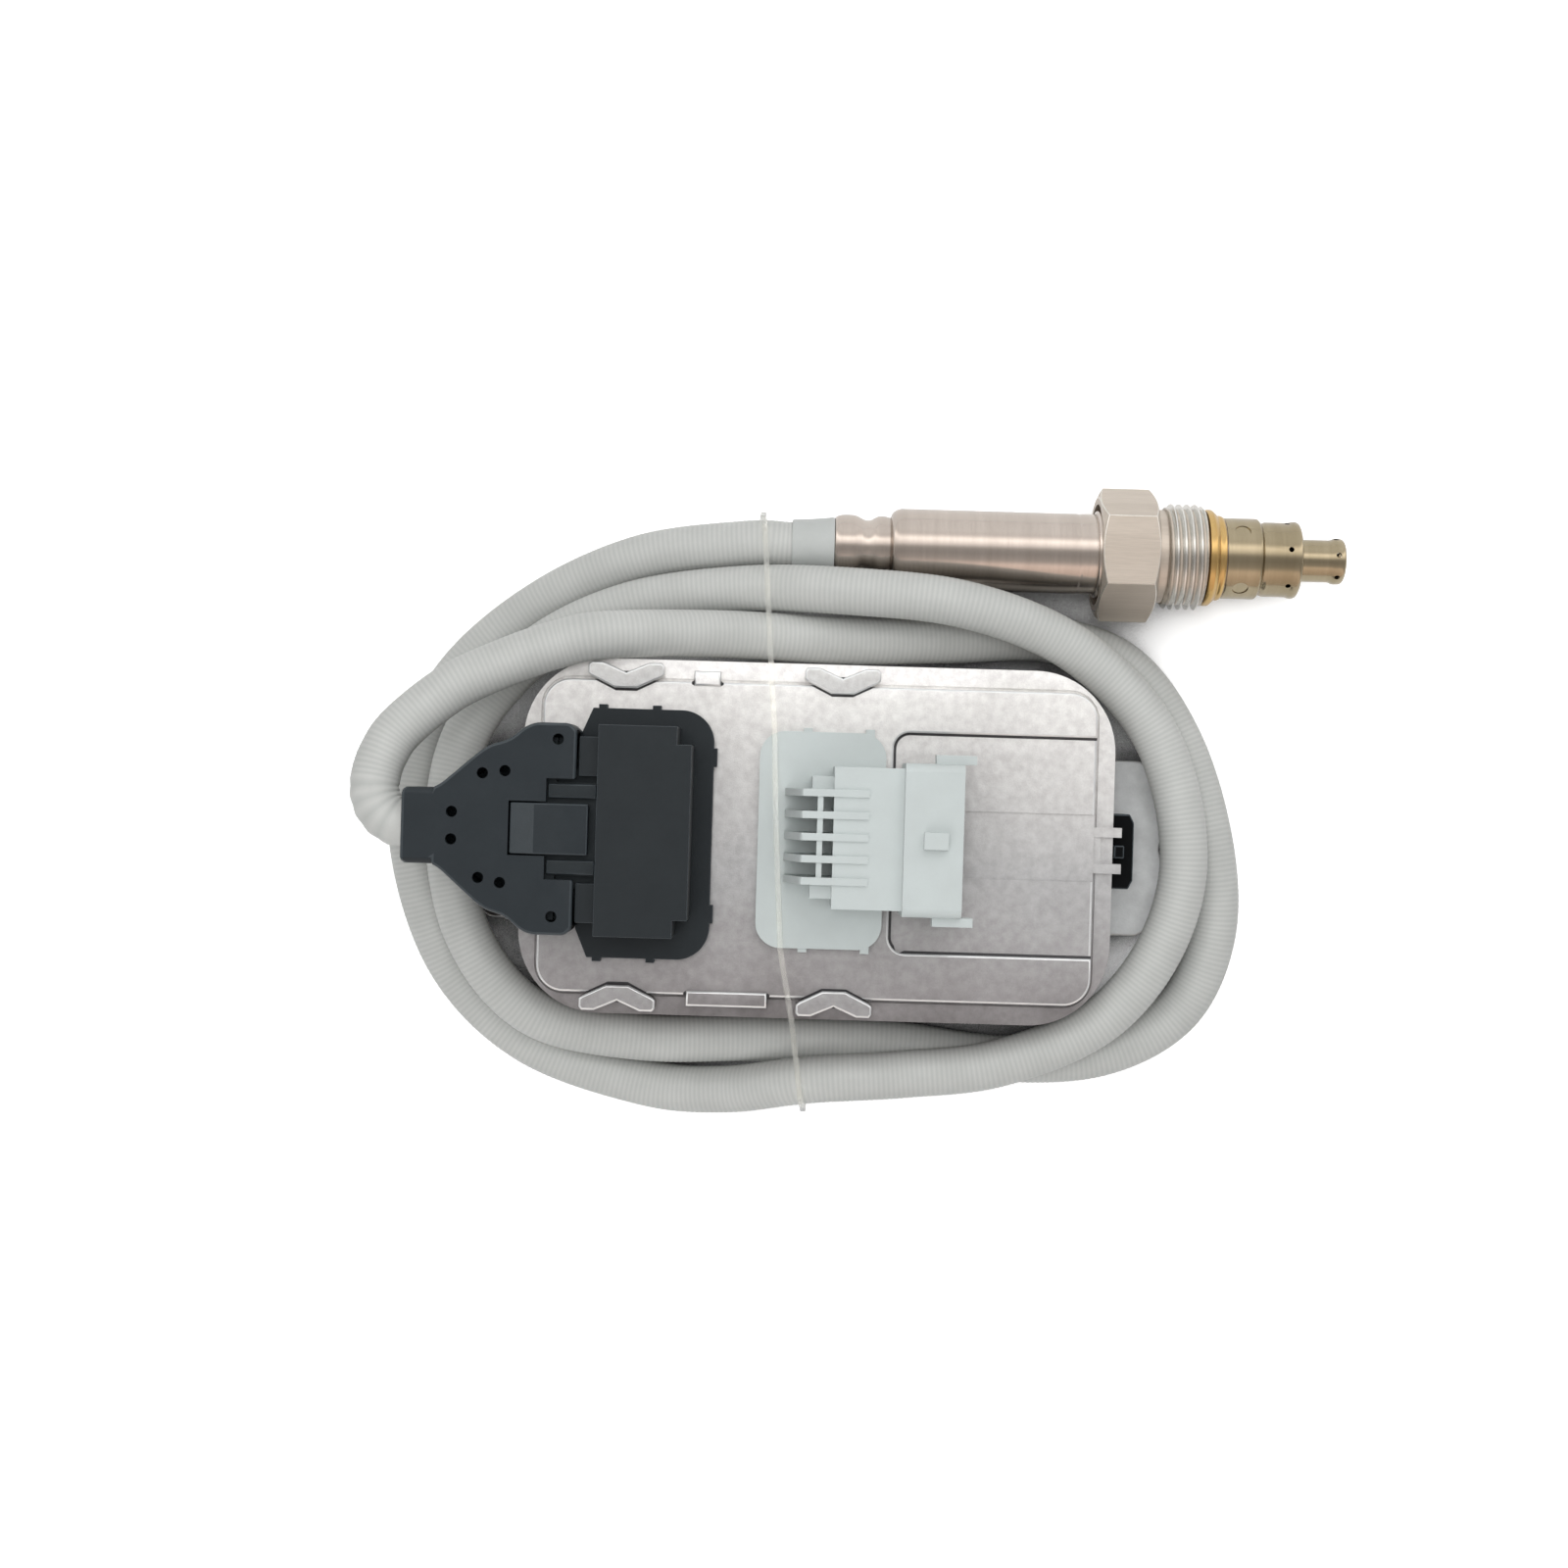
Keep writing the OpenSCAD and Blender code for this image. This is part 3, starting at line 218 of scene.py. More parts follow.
def edge_group() -> bpy.types.NodeTree:
    """Makes the shared group that lightens a colour along outer edges, as wear and as a painted highlight.

    Returns:
        The node group, made once.
    """
    found = bpy.data.node_groups.get("edge_wear_and_highlight")
    if found:
        return found
    tree = bpy.data.node_groups.new("edge_wear_and_highlight", "ShaderNodeTree")
    sheet = NodeSheet(tree)
    for name, kind in (("Color", "NodeSocketColor"), ("Edge", "NodeSocketColor"), ("Amount", "NodeSocketFloat"), ("Vector", "NodeSocketVector")):
        tree.interface.new_socket(name=name, in_out="INPUT", socket_type=kind)
    tree.interface.new_socket(name="Color", in_out="OUTPUT", socket_type="NodeSocketColor")
    inside = sheet.add("NodeGroupInput").outputs
    end = sheet.add("NodeGroupOutput")
    # Wear and painted highlight: the colour is lightened on sharp outer edges, broken up by noise.
    sharp = sheet.span(sheet.add("ShaderNodeNewGeometry").outputs["Pointiness"], 0.52, 0.62)
    worn = sheet.add("ShaderNodeTexNoise", {"Vector": inside["Vector"], "Scale": 260.0, "Detail": 3.0}).outputs[0]
    mask = sheet.math("MULTIPLY", sharp, sheet.span(worn, 0.3, 0.6, 0.4, 1.0))
    sheet.feed(end, "Color", sheet.blend(sheet.math("MULTIPLY", mask, inside["Amount"], True), inside["Color"], inside["Edge"]))
    return tree


@dataclass(frozen=True)
class Finish:
    """A finish whose colour, roughness and relief vary over the surface."""

    name: str
    base: str
    shade: str
    rough: float = 0.5
    rough_spread: float = 0.1
    metal: float = 0.0
    patch: float = 6.0
    patch_amount: float = 0.6
    grain: float = 0.3
    grain_amount: float = 0.15
    relief: float = 0.02
    edge: str = "ffffff"
    edge_amount: float = 0.0
    lines: Grain = Grain.NONE
    specular: float = 0.5
    coat: float = 0.0

    def material(self) -> bpy.types.Material:
        """Gives the finish's material, made once.

        Returns:
            The material.
        """
        found = bpy.data.materials.get(self.name)
        return found or self.make()

    def make(self) -> bpy.types.Material:
        """Builds the material's nodes.

        Returns:
            The new material.
        """
        made = bpy.data.materials.new(self.name)
        made.use_nodes = True
        sheet = NodeSheet(made.node_tree)
        shader = made.node_tree.nodes["Principled BSDF"]
        place = self.place(sheet)
        group = sheet.add(
            "ShaderNodeGroup",
            node_tree=surface_group(),
            inputs={
                "Vector": place,
                "Base": srgb(self.base),
                "Shade": srgb(self.shade),
                "Patch Scale": 1 / (self.patch * MM),
                "Patch Amount": self.patch_amount,
                "Grain Scale": 1 / (self.grain * MM),
                "Grain Amount": self.grain_amount,
                "Rough": self.rough,
                "Rough Spread": self.rough_spread,
            },
        )
        tone = self.tint(sheet, group.outputs["Color"])
        # Lightens outer edges as wear and painted highlight, through the shared group.
        if self.edge_amount:
            edge = sheet.add(
                "ShaderNodeGroup",
                node_tree=edge_group(),
                inputs={"Color": tone, "Edge": srgb(self.edge), "Amount": self.edge_amount, "Vector": place},
            )
            tone = edge.outputs["Color"]
        bump = sheet.add("ShaderNodeBump", {"Strength": 1.0, "Distance": self.relief * MM, "Height": self.height(sheet, group.outputs["Height"])})
        sheet.feed(shader, "Base Color", tone)
        sheet.feed(shader, "Roughness", group.outputs["Roughness"])
        sheet.feed(shader, "Normal", bump.outputs[0])
        shader.inputs["Metallic"].default_value = self.metal
        shader.inputs["Specular IOR Level"].default_value = self.specular
        shader.inputs["Coat Weight"].default_value = self.coat
        return made

    def place(self, sheet: NodeSheet) -> bpy.types.NodeSocket:
        """Gives the coordinates of the pattern, stretched along the surface's lines."""
        at = sheet.add("ShaderNodeTexCoord").outputs["Object"]
        if self.lines is Grain.NONE:
            return at
        turned = sheet.add("ShaderNodeMapping", {"Vector": at, "Location": -AXIS, "Scale": self.lines.value})
        return turned.outputs[0]

    def tint(self, sheet: NodeSheet, tone: bpy.types.NodeSocket) -> bpy.types.NodeSocket:
        """Changes the colour further, which the plain finish leaves as it is."""
        return tone

    def height(self, sheet: NodeSheet, grain: bpy.types.NodeSocket) -> bpy.types.NodeSocket:
        """Gives the relief, which is the grain's in the plain finish."""
        return grain


@dataclass(frozen=True)
class GradedCast(Finish):
    """Cast aluminium with painted light and shade: darker or paler along one axis, in soft clouds."""

    axis: int = 1
    stops: tuple[tuple[float, str], ...] = ()
    cloud: float = 14.0
    drift: float = 12.0

    def tint(self, sheet: NodeSheet, tone: bpy.types.NodeSocket) -> bpy.types.NodeSocket:
        """Multiplies the patches by the painted light or shade that belongs to the place along the axis."""
        at = sheet.add("ShaderNodeTexCoord").outputs["Object"]
        along = sheet.add("ShaderNodeSeparateXYZ", {"Vector": at}).outputs[self.axis]
        cloud = sheet.add("ShaderNodeTexNoise", {"Vector": at, "Scale": 1 / (self.cloud * MM), "Detail": 6.0}).outputs[0]
        shift = sheet.math("MULTIPLY", sheet.math("SUBTRACT", cloud, 0.5), self.drift * MM)
        low, high = self.stops[0][0] * MM, self.stops[-1][0] * MM
        ramp = sheet.add("ShaderNodeValToRGB", {"Fac": sheet.span(sheet.math("ADD", along, shift), low, high)})
        marks = ramp.color_ramp.elements
        marks[0].color = srgb(self.stops[0][1])
        marks[1].color = srgb(self.stops[-1][1])
        for place, code in self.stops[1:-1]:
            marks.new((place * MM - low) / (high - low)).color = srgb(code)
        return sheet.blend(1.0, ramp.outputs[0], tone, "MULTIPLY")


@dataclass(frozen=True)
class HoseSkin(Finish):
    """Matt rubber of the ribbed hose, darkened in the grooves between the ribs by painted shade."""

    # Colour of the painted shade in the grooves.
    groove: str = "8b908e"

    def tint(self, sheet: NodeSheet, tone: bpy.types.NodeSocket) -> bpy.types.NodeSocket:
        """Darkens the grooves between the ribs with painted shade."""
        depth = sheet.add("ShaderNodeAttribute", attribute_name="groove").outputs["Fac"]
        return sheet.blend(sheet.math("MULTIPLY", depth, 0.3, True), tone, srgb(self.groove))


@dataclass(frozen=True)
class ClearBand(Finish):
    """Thin see-through tie band."""

    def make(self) -> bpy.types.Material:
        """Builds the plain finish and lets light through it.

        Returns:
            The new material.
        """
        made = Finish.make(self)
        shader = made.node_tree.nodes["Principled BSDF"]
        shader.inputs["Transmission Weight"].default_value = 0.85
        shader.inputs["Alpha"].default_value = 0.55
        shader.inputs["IOR"].default_value = 1.3
        return made


class Looks(Enum):
    """Every finish of the object."""

    # Painted shade and light: the pan is graded from dark at the left ear to pale at the right ear.
    CAST_LOWER = GradedCast(
        "cast_lower_aluminium", "ffffff", "dcdcdc", 0.5, 0.15, 0.0, 7, 0.8, 0.4, 0.1, 0.03, axis=0, drift=2.0,
        stops=((-60, "3a3635"), (-52, "6c6866"), (50, "8e9293"), (57, "e6e8e8")),
    )
    # Painted light and shade: the lid is graded from dark at the -Y shoulder to pale at the +Y side, towards the key
    # lamp.
    CAST_UPPER = GradedCast(
        "cast_upper_aluminium", "ffffff", "e2e0e1", 0.45, 0.2, 0.3, 1.7, 0.7, 0.25, 0.2, 0.035,
        cloud=24.0, drift=18.0,
        stops=((-33, "757171"), (-26, "999696"), (-6, "b4b4b4"), (14, "d3d2d0"), (27, "eae9e6"), (32, "fbfaf8")),
    )
    # Painted light and shade: the tab tops are graded from darker at -Y to paler at +Y.
    CAST_TAB = GradedCast(
        "cast_tab_tops", "ffffff", "dfdddd", 0.4, 0.2, 0.3, 1.7, 0.7, 0.25, 0.2, 0.035,
        drift=2.0, stops=((-32, "9c9a9a"), (-26, "a6a5a5"), (26, "c4c4c3"), (32, "d2d2d0")),
    )
    # Painted highlight: a pale, shinier finish on the rounded outer edges of the castings.
    CAST_EDGE = Finish("cast_painted_edge_highlight", "e3e4e4", "c9cbcc", 0.3, 0.1, 0.6, 3, 0.6, 0.3, 0.1, 0.02)
    # Painted shade: a dark finish in the inner corners of the castings.
    CAST_CORNER = Finish("cast_painted_corner_shade", "2b2b2d", "3c3b3c", 0.6, 0.1, 0.0, 3, 0.6, 0.3, 0.1, 0.02)
    GASKET = Finish("gasket_black_rubber", "26292b", "1e2022", 0.7)
    ZINC = Finish("zinc_plating", "9b9ea0", "83878a", 0.35, 0.1, 1.0)
    LAMINATE = Finish("laminate_green", "2f6b46", "275c3b", 0.4)
    COMPONENTS = Finish("component_cases", "3a3c3e", "2c2e30", 0.45)
    VENT = Finish("vent_black_plastic", "111213", "0e0f0f", 0.6, 0.1, 0.0, 4, 0.5, 0.25, 0.2, 0.02, specular=0.02)
    HEADER_BLACK = Finish("header_black_plastic", "1e2326", "1a1f22", 0.48, 0.1, 0.0, 7, 0.6, 0.25, 0.16, 0.015, specular=0.3)
    CONTACT = Finish("contact_plating", "c9b27a", "b09a60", 0.3, 0.1, 1.0)
    PLUG_BLACK = Finish("plug_black_plastic", "21272b", "1c2226", 0.5, 0.1, 0.0, 6, 0.6, 0.25, 0.16, 0.015, specular=0.3)
    BLACK_EDGE = Finish("black_edge_sheen", "363d41", "2e3438", 0.42, 0.1, 0.0, 4, 0.6, 0.25, 0.1, 0.01, specular=0.35)
    GRIP = Finish("latch_grip_sheen", "30363a", "2b3134", 0.5, 0.1, 0.0, 4, 0.6, 0.25, 0.2, 0.015, specular=0.4)
    BLACK_CORNER = Finish("black_corner_shade", "0b0d0e", "101214", 0.6, 0.1, 0.0, 4, 0.6, 0.25, 0.1, 0.01, specular=0.2)
    INSERT_BLACK = Finish("insert_black_plastic", "22282b", "1c2124", 0.5, 0.1, 0.0, 6, 0.6, 0.25, 0.16, 0.015, specular=0.3)
    HEADER_GREY = Finish("header_grey_plastic", "bbc2c1", "b4bab9", 0.45, 0.1, 0.0, 8, 0.6, 0.3, 0.04, 0.012, specular=0.35)
    GREY_EDGE = Finish("grey_edge_sheen", "dfe6e5", "d3dbda", 0.35, 0.1, 0.0, 8, 0.6, 0.3, 0.04, 0.012)
    GREY_CORNER = Finish("grey_corner_shade", "929d9c", "9aa5a4", 0.5, 0.1, 0.0, 8, 0.6, 0.3, 0.04, 0.012)
    HOSE = HoseSkin("hose_grey_rubber", "bcbdba", "b1b2af", 0.5, 0.12, 0.0, 9, 0.7, 0.3, 0.05, 0.012, specular=0.4)
    HOSE_END = Finish("hose_end_rubber", "b2b5b3", "a9acaa", 0.5, 0.12, 0.0, 5, 0.7, 0.3, 0.05, 0.015, specular=0.4)
    BAND = ClearBand("band_clear_plastic", "fafaf6", "f4f1e6", 0.2, 0.05)
    STAINLESS = Finish("stainless_tube", "c3b9b0", "b0a69d", 0.2, 0.08, 1.0, 5, 0.7, 0.18, 0.14, 0.004, lines=Grain.ROUND_X)
    HEX = Finish("hexagon_nickel", "c9bfb3", "b5aa9e", 0.42, 0.12, 0.7, 4, 0.7, 0.12, 0.3, 0.005, lines=Grain.ALONG_X)
    # Painted highlight: a pale, shinier finish on the rounded edges of the hexagon.
    METAL_EDGE = Finish("metal_painted_edge_highlight", "dedbd4", "cbc7bf", 0.25, 0.1, 1.0, 3, 0.5, 0.12, 0.1, 0.003)
    THREAD = Finish("thread_nickel", "dddcd8", "c8c6c1", 0.26, 0.1, 1.0, 3, 0.5, 0.12, 0.1, 0.003, lines=Grain.ROUND_X)
    COLLAR = Finish("collar_golden", "cbab72", "b39258", 0.26, 0.1, 1.0, 3, 0.7, 0.14, 0.14, 0.004, lines=Grain.ROUND_X)
    GUARD = Finish("guard_bronze", "a79b82", "958970", 0.2, 0.08, 1.0, 3, 0.9, 0.14, 0.1, 0.003, lines=Grain.ROUND_X)
    CERAMIC = Finish("ceramic_sintered", "ddd8cc", "cfc9bb", 0.6)


# Modelling helpers


def deselect() -> None:
    """Leaves object mode with nothing selected."""
    if bpy.context.object and bpy.context.object.mode != "OBJECT":
        bpy.ops.object.mode_set(mode="OBJECT")
    bpy.ops.object.select_all(action="DESELECT")


def activate(piece: bpy.types.Object) -> None:
    """Selects one piece and makes it the active one."""
    deselect()
    piece.select_set(True)
    bpy.context.view_layer.objects.active = piece


def pick(piece: bpy.types.Object, kind: str, test: Callable[[Vector, Vector], bool]) -> int:
    """Goes to edit mode and selects the elements whose middle passes a test.

    Args:
        piece: The mesh object, which becomes active.
        kind: VERT, EDGE or FACE.
        test: Takes the middle and the normal, or the direction of an edge.

    Returns:
        The number of elements selected.
    """
    activate(piece)
    bpy.ops.object.mode_set(mode="EDIT")
    bpy.ops.mesh.select_mode(type=kind)
    bpy.ops.mesh.select_all(action="DESELECT")
    mesh = bmesh.from_edit_mesh(piece.data)
    count = 0
    if kind == "VERT":
        for v in mesh.verts:
            if test(v.co, v.normal):
                v.select_set(True)
                count += 1
    elif kind == "EDGE":
        for e in mesh.edges:
            a, b = e.verts[0].co, e.verts[1].co
            if test((a + b) / 2, (b - a).normalized()):
                e.select_set(True)
                count += 1
    else:
        for f in mesh.faces:
            if test(f.calc_center_median(), f.normal):
                f.select_set(True)
                count += 1
    mesh.select_flush_mode()
    bmesh.update_edit_mesh(piece.data)
    return count


def apply_modifier(piece: bpy.types.Object, name: str, kind: str, **settings: object) -> None:
    """Adds a modifier to a piece and applies it.

    Args:
        piece: The mesh object.
        name: What the modifier is for.
        kind: Blender's modifier type.
        settings: Properties of the modifier.
    """
    activate(piece)
    modifier = piece.modifiers.new(name, kind)
    for key, value in settings.items():
        setattr(modifier, key, value)
    bpy.ops.object.modifier_apply(modifier=modifier.name)


def merged(piece: bpy.types.Object, flat: float = 0.0) -> None:
    """Merges a mesh's doubles, dissolves its flat faces and turns its normals outwards.

    Args:
        piece: The mesh object.
        flat: Angle in degrees below which faces count as one, or 0 to keep them.
    """
    activate(piece)
    bpy.ops.object.mode_set(mode="EDIT")
    bpy.ops.mesh.select_mode(type="VERT")
    bpy.ops.mesh.select_all(action="SELECT")
    bpy.ops.mesh.remove_doubles(threshold=0.000004)
    if flat:
        bpy.ops.mesh.dissolve_limited(angle_limit=math.radians(flat))
    bpy.ops.mesh.normals_make_consistent(inside=False)
    bpy.ops.object.mode_set(mode="OBJECT")


def paint(piece: bpy.types.Object, *looks: Looks) -> None:
    """Gives a piece its finishes, the first one all over."""
    piece.data.materials.clear()
    for look in looks:
        piece.data.materials.append(look.value.material())


def copy_of(node: str, name: str, *looks: Looks) -> bpy.types.Object:
    """Copies a CAD node's mesh to a new piece with merged corners.

    Args:
        node: Name of the CAD node.
        name: Name of the piece.
        looks: Its finishes: all over, on outer edges as a painted highlight, in inner corners as painted shade.

    Returns:
        The new piece.
    """
    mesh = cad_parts[node].data.copy()
    mesh.name = name
    piece = bpy.data.objects.new(name, mesh)
    bpy.context.scene.collection.objects.link(piece)
    activate(piece)
    bpy.ops.mesh.customdata_custom_splitnormals_clear()
    merged(piece, 1.0)
    paint(piece, *looks)
    return piece


def finish_faces(piece: bpy.types.Object, look: Looks, test: Callable[[Vector, Vector], bool]) -> None:
    """Gives the faces of a piece that pass a test a finish of their own.

    Args:
        piece: The mesh object.
        look: The finish, added after those that the piece has.
        test: Takes a face's middle and its normal.
    """
    piece.data.materials.append(look.value.material())
    pick(piece, "FACE", test)
    piece.active_material_index = len(piece.data.materials) - 1
    bpy.ops.object.material_slot_assign()
    bpy.ops.object.mode_set(mode="OBJECT")


def smooth(piece: bpy.types.Object, angle: float = 50.0) -> None:
    """Shades a piece smooth below an angle in degrees and weights its normals by area."""
    activate(piece)
    bpy.ops.object.shade_smooth_by_angle(angle=math.radians(angle))
    apply_modifier(piece, "flat_faces", "WEIGHTED_NORMAL", keep_sharp=True)


def height(face: bmesh.types.BMFace) -> float:
    """Gives the height of a face along Z."""
    levels = [v.co.z for v in face.verts]
    return max(levels) - min(levels)


def weigh_edges(
    piece: bpy.types.Object, outer: bool, angle: float, wall: float = 0.0, inside: EdgeTest | None = None
) -> int:
    """Gives the sharp outer or inner edges of a piece the weight that the bevel reads.

    Args:
        piece: The mesh object.
        outer: True for edges that stand out, False for those in a corner.
        angle: Edges bent by more than this, in degrees, count.
        wall: Height in millimetres that a face at the edge must have.
        inside: Takes an edge's middle, its direction and outer, and tells whether it may be rounded.

    Returns:
        The number of edges.
    """
    activate(piece)
    mesh = bmesh.new()
    mesh.from_mesh(piece.data)
    layer = mesh.edges.layers.float.get("bevel_weight_edge") or mesh.edges.layers.float.new("bevel_weight_edge")
    count = 0
    for edge in mesh.edges:
        sharp = len(edge.link_faces) == 2 and edge.calc_face_angle(0.0) > math.radians(angle)
        chosen = sharp and edge.is_convex == outer and any(height(f) > wall * MM for f in edge.link_faces)
        if chosen and inside:
            a, b = edge.verts[0].co, edge.verts[1].co
            chosen = inside((a + b) / 2, (b - a).normalized(), outer)
        edge[layer] = 1.0 if chosen else 0.0
        count += chosen
    mesh.to_mesh(piece.data)
    mesh.free()
    return count


def soften(
    piece: bpy.types.Object, width: float, segments: int = 2, angle: float = 34.0, inner: float = 0.0,
    wall: float = -1.0, inside: EdgeTest | None = None,
) -> None:
    """Rounds a piece's outer edges, and its inner corners if asked to.

    Args:
        piece: The mesh object. Its second material, if it has one, goes on the outer edges as a painted highlight and
            its third on the inner corners as painted shade.
        width: Width of the outer rounding in millimetres.
        segments: Steps of the outer rounding.
        angle: Edges bent by more than this, in degrees, are rounded.
        inner: Width of the rounding of the inner corners in millimetres, or 0.
        wall: Height in millimetres that a face at a rounded edge must have.
        inside: Takes an edge's middle, its direction and outer, and tells whether it may be rounded.
    """
    finishes = len(piece.data.materials)
    for outer, size, steps, index in ((True, width, segments, 1), (False, inner, 1, 2)):
        if size and weigh_edges(piece, outer, angle, wall, inside):
            apply_modifier(
                piece, "edge_radius", "BEVEL", width=size * MM, segments=steps, limit_method="WEIGHT",
                use_clamp_overlap=wall < 0, material=index if finishes > index else -1,
            )
    smooth(piece)


def turned(name: str, profile: Profile, sides: int = 64) -> bpy.types.Object:
    """Turns a closed profile about the probe's axis, ring by ring.

    Args:
        name: Name of the piece.
        profile: Points of (place along X, radius) in millimetres. The last joins the first.
        sides: Number of sides of each ring.

    Returns:
        The new piece.
    """
    deselect()
    x, r = profile[0]
    bpy.ops.mesh.primitive_circle_add(
        vertices=sides, radius=r * MM, location=(x * MM, AXIS.y, AXIS.z), rotation=(0, math.radians(90), 0)
    )
    piece = bpy.context.object
    piece.name = name
    bpy.ops.object.transform_apply(location=True, rotation=True, scale=True)
    bpy.ops.object.mode_set(mode="EDIT")
    bpy.ops.mesh.select_all(action="SELECT")
    for (xa, ra), (xb, rb) in zip(profile, [*profile[1:], profile[0]]):
        bpy.ops.mesh.extrude_region_move(TRANSFORM_OT_translate={"value": ((xb - xa) * MM, 0, 0)})
        bpy.ops.transform.resize(value=(1, rb / ra, rb / ra), center_override=(xb * MM, AXIS.y, AXIS.z))
    merged(piece)
    return piece


def cut(piece: bpy.types.Object, tools: Iterable[bpy.types.Object], operation: str = "DIFFERENCE") -> None:
    """Cuts tools out of a piece and removes the tools.

    Args:
        piece: The mesh object.
        tools: The mesh objects that cut.
        operation: DIFFERENCE or INTERSECT.
    """
    for tool in tools:
        apply_modifier(piece, "cut", "BOOLEAN", operation=operation, solver="EXACT", object=tool)
        bpy.data.objects.remove(tool)


def dress(piece: bpy.types.Object, look: Looks | None, slot: Slot, body: Body, *nodes: str) -> bpy.types.Object:
    """Gives a piece its finish and its body.

    Args:
        piece: The mesh object.
        look: The finish, or None where the piece has its finishes.
        slot: The record's material slot; not used.
        body: The CAD body that it rides on.
        nodes: The CAD nodes that it stands for.

    Returns:
        The same piece.
    """
    deselect()
    if look:
        paint(piece, look)
    piece.data.name = piece.name
    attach(piece, body.value)
    if nodes:
        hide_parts(*nodes)
    LOG.info("%s: %d faces", piece.name, len(piece.data.polygons))
    return piece


def carry(node: str, look: Looks) -> None:
    """Gives a CAD node that stays in sight its finish."""
    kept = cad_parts[node]
    paint(kept, look)
    LOG.info("%s: CAD node with %s", node, look.value.name)


# The object


